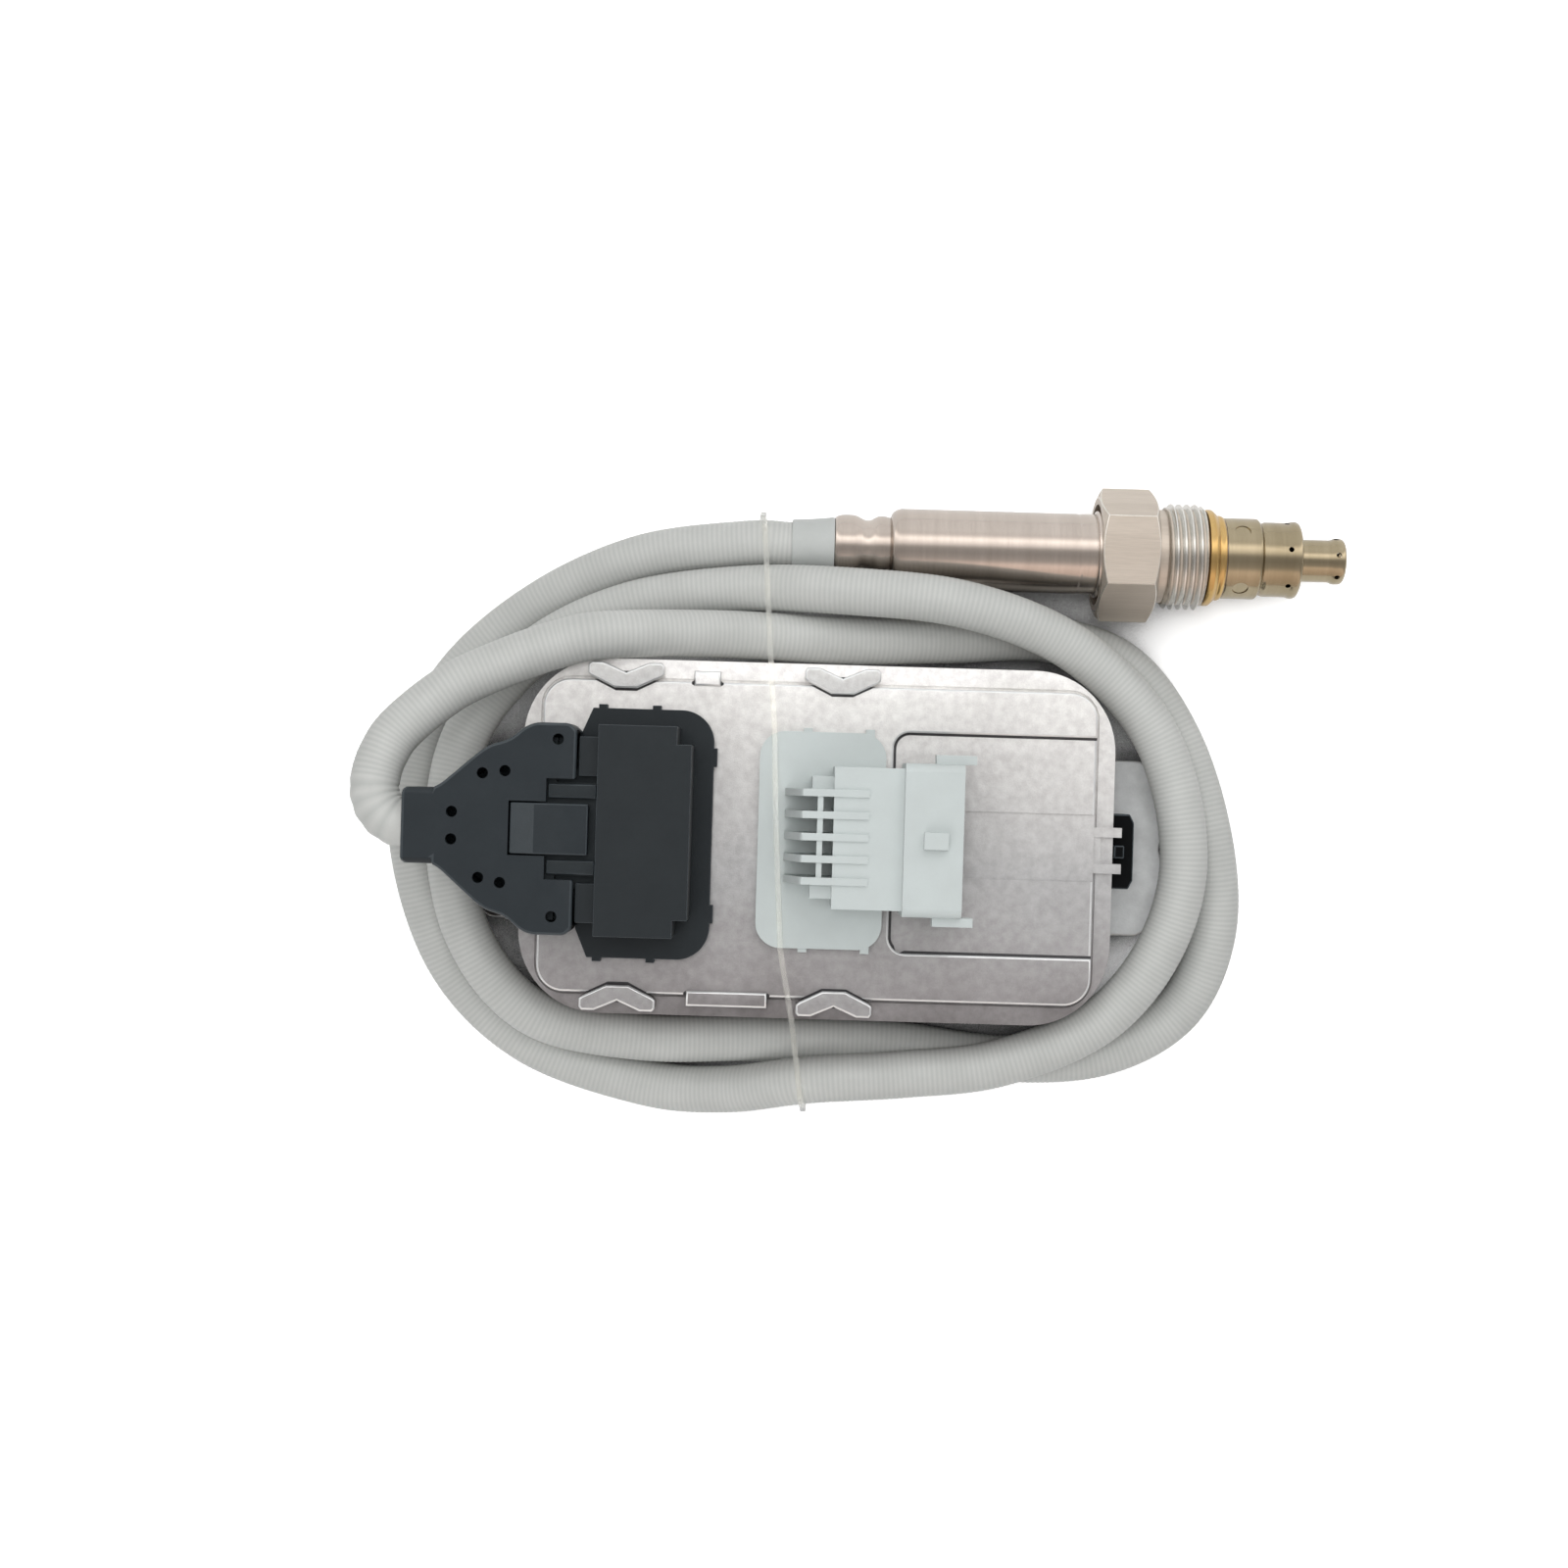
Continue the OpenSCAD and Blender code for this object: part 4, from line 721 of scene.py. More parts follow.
@dataclass
class Hose:
    """Ribbed hose from the plug's neck, twice round the unit, to the probe."""

    diameter: float = 9.0
    sides: int = 20
    rib_pitch: float = 0.92
    rib_depth: float = 0.07
    plain_end: float = 2.0
    fold_from: float = 5.0
    fold_pitch: float = 2.3
    fold_depth: float = 0.2
    folds: int = 4
    route: tuple[tuple[float, float, float], ...] = (
        (-71.3, 1.3, 33.5), (-74, 1.3, 33.5), (-76.7, 1.9, 33.4), (-78.9, 3.6, 33.2), (-80.2, 6.1, 32.9),
        (-80.4, 9.2, 32.5), (-79.3, 13.6, 31.7), (-76.2, 18.8, 30.5), (-67.7, 26.2, 29), (-58.4, 31.1, 27.6),
        (-49, 34.8, 26.7), (-39.6, 37, 25.8), (-18, 38.2, 18.7), (4, 38, 13), (25, 39, 8.2),
        (44, 39.9, 5.1), (59, 34.8, 5), (69.5, 20.5, 6.5), (75.6, 1, 8), (76.6, -16.5, 6.8),
        (70.5, -31.2, 5), (56, -39.6, 4.8), (36, -41.2, 4.8), (14, -38.8, 5.6), (-10, -38.4, 7.2),
        (-33, -38.5, 9.8), (-52.7, -34.2, 12.4), (-64.8, -20.6, 14), (-69.4, -2, 14), (-67.3, 17, 13),
        (-55.5, 33.2, 12.4), (-38, 43, 13), (-16, 47, 14.3), (6, 46.9, 18.4), (28, 44.6, 19.8),
        (48, 37, 17.3), (63, 22, 16.3), (68.9, 1, 17.3), (65.8, -17, 16.2), (54.6, -32.2, 15.2),
        (36, -40.8, 15), (18, -43.6, 14.4), (0, -45.3, 13.4), (-16, -48.2, 8.4), (-32, -47.6, 5.4),
        (-54, -40.4, 5.2), (-69, -26.4, 6), (-76.6, -6, 8), (-77, 13, 6.5), (-69.5, 30, 5.2),
        (-54, 43.8, 6.3), (-35, 52.8, 9), (-15, 55.9, 10.9), (-6.4, 55.9, 11), (1.8, 55.9, 11),
    )
    length: float = field(default=0.0, init=False)

    def curve(self, steps: int) -> list[Vector]:
        """Follows the smooth curve through the route's points.

        Args:
            steps: Steps in each span between two points.

        Returns:
            Points along the middle of the hose, in metres.
        """
        p = [Vector(q) * MM for q in self.route]
        line: list[Vector] = []
        for i in range(len(p) - 1):
            a, b, c, d = p[max(i - 1, 0)], p[i], p[i + 1], p[min(i + 2, len(p) - 1)]
            for s in range(steps):
                t = s / steps
                line.append(0.5 * (2 * b + (c - a) * t + (2 * a - 5 * b + 4 * c - d) * t**2 + (3 * b - a - 3 * c + d) * t**3))
        return [*line, p[-1]]

    def stations(self) -> list[tuple[float, float, float]]:
        """Lists the rings of the ribs.

        Returns:
            For each ring the place along the hose, the radius and the depth in the groove.
        """
        r, g = self.diameter / 2 * MM, self.rib_depth * MM
        rings = [(0.0, r, 0.0)]
        for k in range(self.folds):
            s = (self.fold_from + k * self.fold_pitch) * MM
            deep = self.fold_depth * MM
            for part, share in ((0.0, 0.0), (0.25, 0.5), (0.45, 1.0), (0.65, 0.6), (0.85, 0.1)):
                rings.append((s + part * self.fold_pitch * MM, r - share * deep, share))
        start = (self.fold_from + self.folds * self.fold_pitch) * MM
        end = self.plain_end * MM
        count = int((self.length - start - end) / (self.rib_pitch * MM))
        pitch = (self.length - start - end) / count
        for k in range(count):
            s = start + k * pitch
            rings += [(s, r, 0.0), (s + 0.5 * pitch, r - g, 1.0)]
        return [*rings, (self.length, r, 0.0)]

    def build(self) -> tuple[bpy.types.Object, list[Vector]]:
        """Makes the ribbed skin along the curve.

        Returns:
            The hose, and the middles of its rings.
        """
        line = self.curve(24)
        places = [0.0]
        for a, b in zip(line, line[1:]):
            places.append(places[-1] + (b - a).length)
        self.length = places[-1]
        corners: list[Vector] = []
        faces: list[list[int]] = []
        depths: list[float] = []
        middles: list[Vector] = []
        side = Vector((0, 1, 0))
        i = 0
        rings = self.stations()
        for s, radius, depth in rings:
            while i < len(places) - 2 and places[i + 1] < s:
                i += 1
            t = (s - places[i]) / max(places[i + 1] - places[i], 1e-9)
            middle = line[i].lerp(line[i + 1], min(max(t, 0), 1))
            ahead = (line[min(i + 2, len(line) - 1)] - line[max(i - 1, 0)]).normalized()
            side = (side - side.dot(ahead) * ahead).normalized()
            up = ahead.cross(side)
            middles.append(middle)
            for k in range(self.sides):
                angle = 2 * math.pi * k / self.sides
                corners.append(middle + radius * (math.cos(angle) * side + math.sin(angle) * up))
                depths.append(depth)
        n = self.sides
        for j in range(len(rings) - 1):
            for k in range(n):
                faces.append([j * n + k, j * n + (k + 1) % n, (j + 1) * n + (k + 1) % n, (j + 1) * n + k])
        faces.append(list(reversed(range(n))))
        faces.append([(len(rings) - 1) * n + k for k in range(n)])
        mesh = bpy.data.meshes.new("hose_ribbed")
        mesh.from_pydata(corners, [], faces)
        # The groove depth also masks the hose's painted groove shade.
        mesh.attributes.new("groove", "FLOAT", "POINT").data.foreach_set("value", depths)
        piece = bpy.data.objects.new("hose_ribbed", mesh)
        bpy.context.scene.collection.objects.link(piece)
        merged(piece)
        activate(piece)
        bpy.ops.object.shade_smooth_by_angle(angle=math.radians(80))
        return piece, middles

    def end_piece(self) -> bpy.types.Object:
        """Makes the rubber end that is slipped over the hose at the ferrule.

        Returns:
            The end piece.
        """
        r = self.diameter / 2
        piece = turned("hose_end", [
            (-6.2, r + 0.06), (-6.2, r + 0.35), (-5.8, r + 0.5), (-2.4, r + 0.66), (0.4, r + 0.95), (1.4, r + 1.1),
            (1.8, r + 1.0), (1.8, r + 0.06),
        ])
        smooth(piece, 60)
        return piece


@dataclass
class TieBand:
    """Thin clear band that ties the hose to the unit."""

    width: float = 1.5
    thickness: float = 0.8

    def build(self) -> bpy.types.Object:
        """Makes the band from the CAD's loop, rounded along its course.

        Returns:
            The band.
        """
        piece = copy_of("tie_band", "tie_band_clear", Looks.BAND)
        soften(piece, 0.12, 2, 60)
        return piece


@dataclass
class ControlUnit:
    """Die-cast housing with its lid, ears, gasket, screws, board and vent."""

    edge: float = 0.4
    tab_z: float = 27.10
    panel_z: float = 25.0
    panel_x: tuple[float, float] = (14.5, 49.0)
    panel_y: float = 20.0

    def lid_edge(self, at: Vector, along: Vector, outer: bool) -> bool:
        """Tells whether an edge of the lid is rounded: one up on the plate, and not within its sunk panel.

        Args:
            at: Middle of the edge.
            along: Direction of the edge.
            outer: True for an edge that stands out.

        Returns:
            True where it is rounded.
        """
        if outer:
            return at.z > self.panel_z * MM and abs(along.z) < 0.5
        within = self.panel_x[0] * MM < at.x < self.panel_x[1] * MM and abs(at.y) < self.panel_y * MM
        return at.z > self.panel_z * MM and not within

    def build(self) -> None:
        """Makes and dresses the housing's pieces."""
        # The castings' outer edges carry a painted highlight and their inner corners painted shade.
        cast_highlight_and_shade = (Looks.CAST_EDGE, Looks.CAST_CORNER)
        lower = copy_of("lower_housing", "pan_casting", Looks.CAST_LOWER, *cast_highlight_and_shade)
        soften(lower, self.edge, inner=0.5)
        dress(lower, None, Slot.CAST_LOWER, Body.SENSOR, "lower_housing")
        upper = copy_of("upper_housing", "lid_casting", Looks.CAST_UPPER, *cast_highlight_and_shade)
        # The tab tops take their own painted light and shade, graded along Y.
        finish_faces(upper, Looks.CAST_TAB, lambda at, normal: normal.z > 0.9 and at.z > self.tab_z * MM)
        soften(upper, self.edge, inner=0.5, wall=0.3, inside=self.lid_edge)
        dress(upper, None, Slot.CAST_UPPER, Body.SENSOR, "upper_housing")
        vent = copy_of("vent_cap", "vent_cover", Looks.VENT, Looks.BLACK_EDGE)
        soften(vent, 0.25)
        dress(vent, None, Slot.VENT, Body.SENSOR, "vent_cap")
        carry("housing_gasket", Looks.GASKET)
        carry("housing_screws", Looks.ZINC)
        carry("circuit_board", Looks.LAMINATE)
        carry("board_parts", Looks.COMPONENTS)
        carry("board_screws", Looks.ZINC)


@dataclass
class CableConnector:
    """Black header on the unit and the latched plug of the hose."""

    edge: float = 0.35
    grip: float = 4.3

    def build(self) -> None:
        """Makes and dresses the header's and the plug's pieces."""
        for node, name, look, slot, width, wall in (
            ("cable_header", "cable_header_block", Looks.HEADER_BLACK, Slot.HEADER_BLACK, self.edge, -1.0),
            ("plug_cover_top", "plug_shell_top", Looks.PLUG_BLACK, Slot.PLUG_BLACK, 0.5, 5.0),
            ("plug_cover_bottom", "plug_shell_bottom", Looks.PLUG_BLACK, Slot.PLUG_BLACK, self.edge, -1.0),
            ("plug_latch", "plug_latch_arm", Looks.PLUG_BLACK, Slot.PLUG_BLACK, 0.25, -1.0),
            ("plug_clips", "plug_side_clips", Looks.INSERT_BLACK, Slot.INSERT_BLACK, 0.2, -1.0),
        ):
            piece = copy_of(node, name, look, Looks.BLACK_EDGE, Looks.BLACK_CORNER)
            if node == "plug_latch":
                grip_x = min(v.co.x for v in piece.data.vertices) + self.grip * MM
                finish_faces(piece, Looks.GRIP, lambda at, normal: normal.z > 0.9 and at.x < grip_x)
            soften(piece, width, 2, inner=0.0 if wall > 0 else 0.3, wall=wall)
            dress(piece, None, slot, Body.SENSOR, node)
        carry("plug_insert", Looks.INSERT_BLACK)
        carry("cable_contacts", Looks.CONTACT)


@dataclass
class VehicleConnector:
    """Light grey header with its shroud open towards +X."""

    edge: float = 0.35

    def build(self) -> None:
        """Makes and dresses the header."""
        piece = copy_of("vehicle_header", "vehicle_header_body", Looks.HEADER_GREY, Looks.GREY_EDGE, Looks.GREY_CORNER)
        soften(piece, self.edge, inner=0.2)
        dress(piece, None, Slot.HEADER_GREY, Body.SENSOR, "vehicle_header")
        carry("vehicle_contacts", Looks.CONTACT)


@dataclass
class Probe:
    """Ferrule, tube, hollow screw, collar and guards along the probe's axis."""

    tube_x0: float = 12.4
    hex_x0: float = 51.6
    hex_x1: float = 62.4
    thread_x0: float = 64.2
    thread_x1: float = 71.6
    thread_r: float = 10.0
    root_r: float = 9.1
    bore_r: float = 7.65
    pitch: float = 1.5
    guard_x0: float = 75.4
    guard_x1: float = 89.8
    guard_r: float = 7.65
    front_r: float = 7.05
    tip_x1: float = 98.6
    tip_r: float = 4.0
    tip_lip: float = 4.35
    holes: int = 6
    hole_turn: float = -41.0
    dimple_turn: float = -37.0

    def ferrule(self) -> bpy.types.Object:
        """Makes the ferrule crimped on the hose's end."""
        piece = turned("ferrule_crimped", [
            (1.8, 3.05), (1.8, 5.3), (2.0, 5.7), (2.5, 6.0), (3.2, 6.15), (4.2, 6.2), (5.4, 6.15), (6.2, 5.95),
            (7.0, 5.5), (7.6, 5.24), (8.2, 5.2), (8.8, 5.32), (9.4, 5.7), (10.0, 6.02), (10.8, 6.1), (11.6, 6.0),
            (12.4, 5.8), (12.4, 3.05),
        ])
        smooth(piece, 60)
        return piece

    def tube(self) -> bpy.types.Object:
        """Makes the drawn tube with its rolled rear end."""
        piece = turned("probe_tube_drawn", [
            (12.4, 3.05), (12.4, 5.9), (12.6, 6.5), (13.0, 7.0), (13.6, 7.38), (14.4, 7.6), (47.8, 7.6), (48.0, 7.5),
            (48.4, 7.5), (48.6, 7.6), (75.4, 7.6), (75.4, 6.4), (14.4, 6.4), (14.0, 3.05),
        ], 72)
        smooth(piece, 60)
        return piece

    def screw(self) -> bpy.types.Object:
        """Makes the hexagon and the root of the thread from the CAD's screw."""
        # The hexagon's rounded edges take a painted highlight.
        piece = copy_of("hollow_screw", "screw_hexagon", Looks.HEX, Looks.METAL_EDGE)

        def on_thread(at: Vector, _: Vector) -> bool:
            """Tells whether a corner is on the CAD's plain thread cylinder."""
            radius = math.hypot(at.y - AXIS.y, at.z - AXIS.z)
            return at.x > (self.thread_x0 - 0.1) * MM and radius > 9.5 * MM

        pick(piece, "VERT", on_thread)
        k = self.root_r / self.thread_r
        bpy.ops.transform.resize(value=(1, k, k), center_override=(self.thread_x0 * MM, AXIS.y, AXIS.z))
        bpy.ops.object.mode_set(mode="OBJECT")
        soften(piece, 0.18, 2, 24)
        return piece

    def thread(self) -> bpy.types.Object:
        """Makes the helical crest of the thread, cut to a chamfered envelope."""
        p = self.pitch * MM
        deselect()
        bpy.ops.mesh.primitive_plane_add(size=1, location=(0, 0, 0))
        piece = bpy.context.object
        piece.name = "screw_thread"
        places = [
            Vector(((self.thread_x0 - 2.2) * MM + 0.04 * p, 0, (self.root_r - 0.12) * MM)),
            Vector(((self.thread_x0 - 2.2) * MM + 0.96 * p, 0, (self.root_r - 0.12) * MM)),
            Vector(((self.thread_x0 - 2.2) * MM + 0.42 * p, 0, self.thread_r * MM)),
            Vector(((self.thread_x0 - 2.2) * MM + 0.58 * p, 0, self.thread_r * MM)),
        ]
        for vertex, place in zip(piece.data.vertices, places):
            vertex.co = place
        turns = int((self.thread_x1 - self.thread_x0 + 4.4) / self.pitch)
        apply_modifier(
            piece, "helix", "SCREW", axis="X", angle=2 * math.pi, screw_offset=p, iterations=turns, steps=48,
            render_steps=48, use_merge_vertices=False,
        )
        piece.location = (0, AXIS.y, AXIS.z)
        bpy.ops.object.transform_apply(location=True, rotation=True, scale=True)
        bpy.ops.object.mode_set(mode="EDIT")
        bpy.ops.mesh.select_mode(type="VERT")
        bpy.ops.mesh.select_all(action="SELECT")
        bpy.ops.mesh.remove_doubles(threshold=0.000004)
        bpy.ops.mesh.select_all(action="DESELECT")
        bpy.ops.mesh.select_non_manifold()
        bpy.ops.mesh.fill()
        merged(piece)
        envelope = turned("thread_envelope", [
            (self.thread_x0, 7.9), (self.thread_x0, self.root_r + 0.1), (self.thread_x0 + 0.7, self.thread_r + 0.05),
            (self.thread_x1 - 0.8, self.thread_r + 0.05), (self.thread_x1 - 0.02, self.root_r + 0.15),
            (self.thread_x1 - 0.02, 7.9),
        ])
        cut(piece, [envelope], "INTERSECT")
        merged(piece)
        smooth(piece, 40)
        return piece

    def guard(self) -> bpy.types.Object:
        """Makes the outer guard with its dimples, waist, gas holes and flared lip."""
        a, b, r, f = self.guard_x0, self.guard_x1, self.guard_r, self.front_r
        w = (a + b) / 2
        piece = turned("guard_outer", [
            (a, 6.4), (a, r - 0.25), (a + 0.12, r - 0.08), (a + 0.35, r), (w - 1.0, r), (w - 0.75, r - 0.06),
            (w - 0.5, r - 0.32), (w - 0.1, r - 0.86), (w, r - 0.9), (w + 0.12, r - 0.86), (w + 0.5, f - 0.12),
            (w + 0.8, f), (b - 2.1, f), (b - 1.8, f + 0.05), (b - 1.45, f + 0.2), (b - 1.0, f + 0.25),
            (b - 0.6, f + 0.22), (b - 0.25, f + 0.05), (b - 0.05, f - 0.3), (b, f - 0.7), (b, 4.05), (b - 0.5, 4.05),
            (b - 0.5, f - 0.8), (b - 0.9, f - 0.3), (b - 1.3, f - 0.25), (b - 2.0, f - 0.5), (w + 0.8, f - 0.5),
            (w, r - 1.4), (w - 0.9, r - 0.5), (a + 1, r - 0.5), (a + 1, 6.4),
        ], 72)
        holes = [self.drill(b - 2.4, self.hole_turn + i * 360 / self.holes, 0.5, 7.5) for i in range(self.holes)]
        dimples = [self.drill(a + 3, self.dimple_turn + i * 90.0, 1.5, r + 1.22, 28) for i in range(4)]
        cut(piece, holes + dimples)
        smooth(piece, 40)
        return piece

    def drill(self, x: float, turn: float, radius: float, reach: float, sides: int = 20) -> bpy.types.Object:
        """Makes a cutter for a radial hole.

        Args:
            x: Place along the axis in millimetres.
            turn: Angle round the axis in degrees.
            radius: Radius of the hole in millimetres.
            reach: Distance of the cutter's middle from the axis in millimetres.
            sides: Number of sides of the cutter.

        Returns:
            The cutter.
        """
        deselect()
        t = math.radians(turn)
        out = Vector((0, math.cos(t), math.sin(t)))
        bpy.ops.mesh.primitive_cylinder_add(
            vertices=sides, radius=radius * MM, depth=3 * MM,
            location=Vector((x * MM, AXIS.y, AXIS.z)) + out * reach * MM,
            rotation=out.to_track_quat("Z", "X").to_euler(),
        )
        tool = bpy.context.object
        bpy.ops.object.transform_apply(location=True, rotation=True, scale=True)
        return tool

    def tip(self) -> bpy.types.Object:
        """Makes the inner tube, its foot in the guard and its flared tip out of it."""
        x, r, lip = self.tip_x1, self.tip_r, self.tip_lip
        foot = self.guard_x0 + 1.3
        piece = turned("tip_tube_drawn", [
            (foot, r - 0.5), (foot, 6.85), (foot + 0.5, 6.85), (foot + 0.5, r), (x - 2.9, r), (x - 2.5, r + 0.06),
            (x - 2.0, lip - 0.04), (x - 1.6, lip), (x - 0.9, lip), (x - 0.5, lip - 0.08), (x - 0.2, lip - 0.32),
            (x - 0.05, lip - 0.6), (x, lip - 1.0), (x, 1.6), (x - 0.5, 1.6), (x - 0.5, lip - 1.1), (x - 1.0, lip - 0.5),
            (x - 1.9, lip - 0.5), (x - 2.7, r - 0.5),
        ])
        cut(piece, [self.drill(x - 1.6, self.hole_turn + i * 360 / self.holes, 0.5, 4.2) for i in range(self.holes)])
        smooth(piece, 40)
        return piece

    def collar(self) -> bpy.types.Object:
        """Makes the sealing collar, conical towards the tip."""
        piece = turned("sealing_collar_ring", [
            (71.9, 7.6), (71.9, 8.8), (72.05, 9.05), (72.3, 9.15), (73.0, 9.12), (73.2, 9.0), (73.9, 8.35), (74.0, 8.0),
            (74.25, 7.9), (74.5, 8.0), (74.7, 8.05), (75.0, 7.95), (75.3, 7.75), (75.35, 7.6),
        ])
        smooth(piece, 40)
        return piece

    def ring(self) -> bpy.types.Object:
        """Makes the stop ring that shows in the screw's counterbore."""
        piece = turned("stop_ring_round", [
            (51.3, 7.6), (51.3, 7.9), (51.4, 8.15), (51.65, 8.3), (52.2, 8.35), (53.4, 8.4), (53.8, 8.9), (54.2, 8.9),
            (54.2, 7.6),
        ])
        smooth(piece, 40)
        return piece

    def build(self) -> None:
        """Makes and dresses the probe's pieces."""
        dress(self.ferrule(), Looks.STAINLESS, Slot.STAINLESS, Body.SENSOR, "ferrule")
        dress(self.tube(), Looks.STAINLESS, Slot.STAINLESS, Body.SENSOR, "probe_tube")
        dress(self.ring(), Looks.STAINLESS, Slot.STAINLESS, Body.SENSOR, "stop_ring")
        dress(self.screw(), None, Slot.NICKEL, Body.SCREW, "hollow_screw")
        dress(self.thread(), Looks.THREAD, Slot.NICKEL, Body.SCREW)
        dress(self.collar(), Looks.COLLAR, Slot.COLLAR, Body.SENSOR, "sealing_collar")
        dress(self.guard(), Looks.GUARD, Slot.GUARD, Body.SENSOR, "guard_tube")
        dress(self.tip(), Looks.GUARD, Slot.GUARD, Body.SENSOR, "tip_tube")
        carry("sensing_element", Looks.CERAMIC)
        carry("front_insulator", Looks.CERAMIC)
        carry("rear_insulator", Looks.CERAMIC)


# The studio


@dataclass
class Studio:
    """Camera straight above the object, pale floor, soft lamps and world."""

    camera_at: tuple[float, float, float] = (-0.00639, 0.0105, 0.450)
    camera_turn: float = 1.7
    lens: float = 52.943
    floor_size: float = 4.0
    world_level: float = 0.4
    key_power: float = 3.2
    top_power: float = 2.5
    floor_glow: float = 0.4
    gap_reach: float = 0.018
    reflections: tuple[tuple[float, float, float], ...] = (
        (0.05, 1.0, 0.18), (0.16, 1.3, 0.15), (0.24, 0.6, 0.06), (0.4, 0.45, 0.04), (0.53, 0.5, 0.03),
        (0.63, 1.6, 0.03), (0.73, 2.4, 0.03), (0.82, 1.0, 0.02), (0.9, 1.15, 0.0),
    )

    def camera(self) -> None:
        """Places the camera over the object."""
        data = bpy.data.cameras.new("camera")
        data.lens = self.lens
        data.sensor_width = 36.0
        data.clip_start = 0.01
        data.clip_end = 20.0
        seen = bpy.data.objects.new("camera", data)
        seen.location = self.camera_at
        seen.rotation_euler = (0.0, 0.0, math.radians(self.camera_turn))
        bpy.context.scene.collection.objects.link(seen)
        bpy.context.scene.camera = seen

    def floor(self) -> None:
        """Lays the pale floor that keeps the object's shadow, darkened by painted shade in the narrow gaps by the
        object.
        """
        deselect()
        bpy.ops.mesh.primitive_plane_add(size=self.floor_size, location=(0, 0, -0.00005))
        plane = bpy.context.object
        plane.name = "floor"
        made = bpy.data.materials.new("floor_white")
        made.use_nodes = True
        sheet = NodeSheet(made.node_tree)
        shader = made.node_tree.nodes["Principled BSDF"]
        at = sheet.add("ShaderNodeTexCoord").outputs["Object"]
        cloud = sheet.add("ShaderNodeTexNoise", {"Vector": at, "Scale": 3.0}).outputs[0]
        pale = sheet.blend(cloud, (0.95, 0.95, 0.95, 1), (0.97, 0.97, 0.97, 1))
        open_sky = sheet.add("ShaderNodeAmbientOcclusion", {"Distance": self.gap_reach}, samples=8).outputs["AO"]
        # Painted shade: the floor's colour turns dark where ambient occlusion finds the object close by.
        sheet.feed(shader, "Base Color", sheet.blend(sheet.span(open_sky, 0.2, 0.5), (0.1, 0.1, 0.1, 1), pale))
        shader.inputs["Roughness"].default_value = 1.0
        shader.inputs["Specular IOR Level"].default_value = 0.0
        shader.inputs["Emission Color"].default_value = (1, 1, 1, 1)
        seen = sheet.add("ShaderNodeLightPath").outputs["Is Camera Ray"]
        away = sheet.add("ShaderNodeVectorMath", {"Vector": at}, operation="LENGTH").outputs["Value"]
        far = sheet.span(away, 0.2, 0.9, self.floor_glow, 1.0)
        # Painted shade: the camera-seen glow fades out in the same gaps by the object.
        glow = sheet.math("MULTIPLY", sheet.math("MULTIPLY", seen, far), sheet.span(open_sky, 0.3, 0.6))
        sheet.feed(shader, "Emission Strength", glow)
        plane.data.materials.append(made)

    def lamp(self, name: str, at: tuple[float, float, float], size: float, power: float) -> None:
        """Hangs a soft lamp that faces the object.

        Args:
            name: Name of the lamp.
            at: Place of the lamp.
            size: Side of its square face.
            power: Power in watts.
        """
        data = bpy.data.lights.new(name, "AREA")
        data.shape = "SQUARE"
        data.size = size
        data.energy = power
        hung = bpy.data.objects.new(name, data)
        hung.location = at
        hung.visible_glossy = False
        hung.rotation_euler = (Vector((0, 0, 0.01)) - Vector(at)).to_track_quat("-Z", "Y").to_euler()
        bpy.context.scene.collection.objects.link(hung)

    def world(self) -> None:
        """Makes the world: white where it is seen, a soft studio in reflections."""
        world = bpy.data.worlds.new("studio")
        bpy.context.scene.world = world
        world.use_nodes = True
        sheet = NodeSheet(world.node_tree)
        world.node_tree.nodes.clear()
        path = sheet.add("ShaderNodeLightPath").outputs
        way = sheet.add("ShaderNodeSeparateXYZ", {"Vector": sheet.add("ShaderNodeTexCoord").outputs["Generated"]}).outputs
        ramp = sheet.add("ShaderNodeValToRGB", {"Fac": sheet.span(way[1], -1.0, 1.0)})
        stops = ramp.color_ramp.elements
        stops[0].position, stops[0].color = 0.0, (0.8, 0.7, 0.62, 1)
        stops[1].position, stops[1].color = 1.0, (1.1, 1.1, 1.1, 1)
        for place, level, warmth in self.reflections:
            stop = stops.new(place)
            stop.color = (level, level * (1 - warmth), level * (1 - 1.5 * warmth), 1)
        fill = sheet.add("ShaderNodeBackground", {"Color": (1, 1, 1, 1), "Strength": self.world_level})
        gloss = sheet.add("ShaderNodeBackground", {"Color": ramp.outputs[0], "Strength": 1.0})
        white = sheet.add("ShaderNodeBackground", {"Color": (1, 1, 1, 1), "Strength": 1.0})
        first = sheet.add("ShaderNodeMixShader", {0: path["Is Glossy Ray"], 1: fill.outputs[0], 2: gloss.outputs[0]})
        seen = sheet.math("MAXIMUM", path["Is Camera Ray"], path["Is Transmission Ray"])
        last = sheet.add("ShaderNodeMixShader", {0: seen, 1: first.outputs[0], 2: white.outputs[0]})
        sheet.add("ShaderNodeOutputWorld", {"Surface": last.outputs[0]})

    def build(self) -> None:
        """Sets the studio up."""
        scene = bpy.context.scene
        scene.view_settings.view_transform = "Standard"
        self.floor()
        self.lamp("key_lamp", (0.16, 0.55, 0.60), 0.8, self.key_power)
        self.lamp("top_lamp", (-0.05, 0.06, 0.85), 0.3, self.top_power)
        self.lamp("fill_lamp", (-0.25, -0.5, 0.55), 0.6, self.key_power * 0.55)
        self.world()


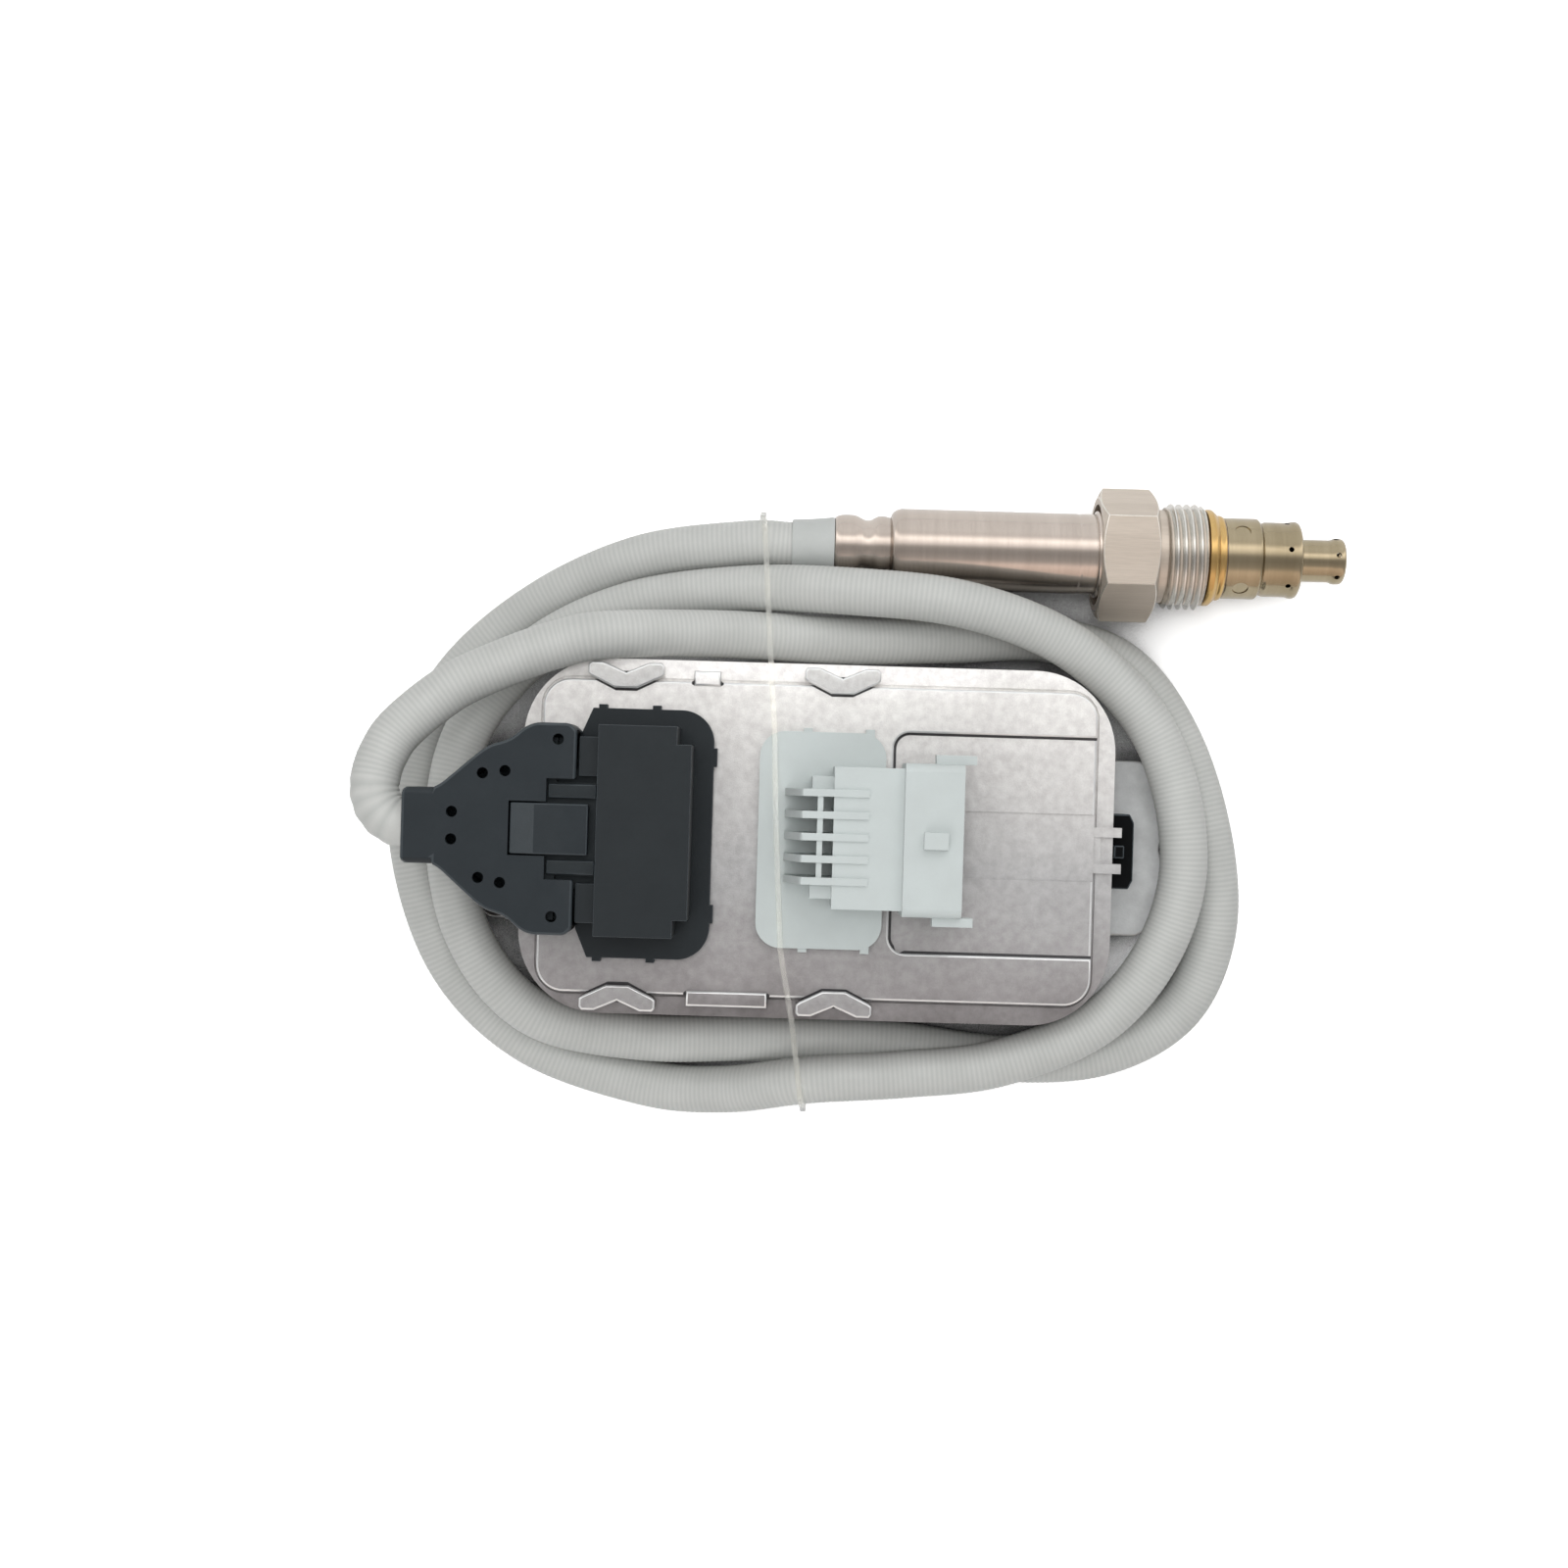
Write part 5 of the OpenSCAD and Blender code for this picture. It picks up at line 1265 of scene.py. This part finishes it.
def main() -> None:
    """Builds the object piece by piece."""
    logging.basicConfig(level=logging.INFO, format="%(message)s")
    studio = Studio()
    studio.camera()
    hose = Hose()
    skin, middles = hose.build()
    dress(skin, Looks.HOSE, Slot.HOSE, Body.SENSOR, "hose")
    end = dress(hose.end_piece(), Looks.HOSE_END, Slot.HOSE, Body.SENSOR, "hose_collar")
    band = dress(TieBand().build(), Looks.BAND, Slot.BAND, Body.SENSOR, "tie_band")
    ControlUnit().build()
    CableConnector().build()
    VehicleConnector().build()
    Probe().build()
    studio.build()


if __name__ == "__main__":
    main()
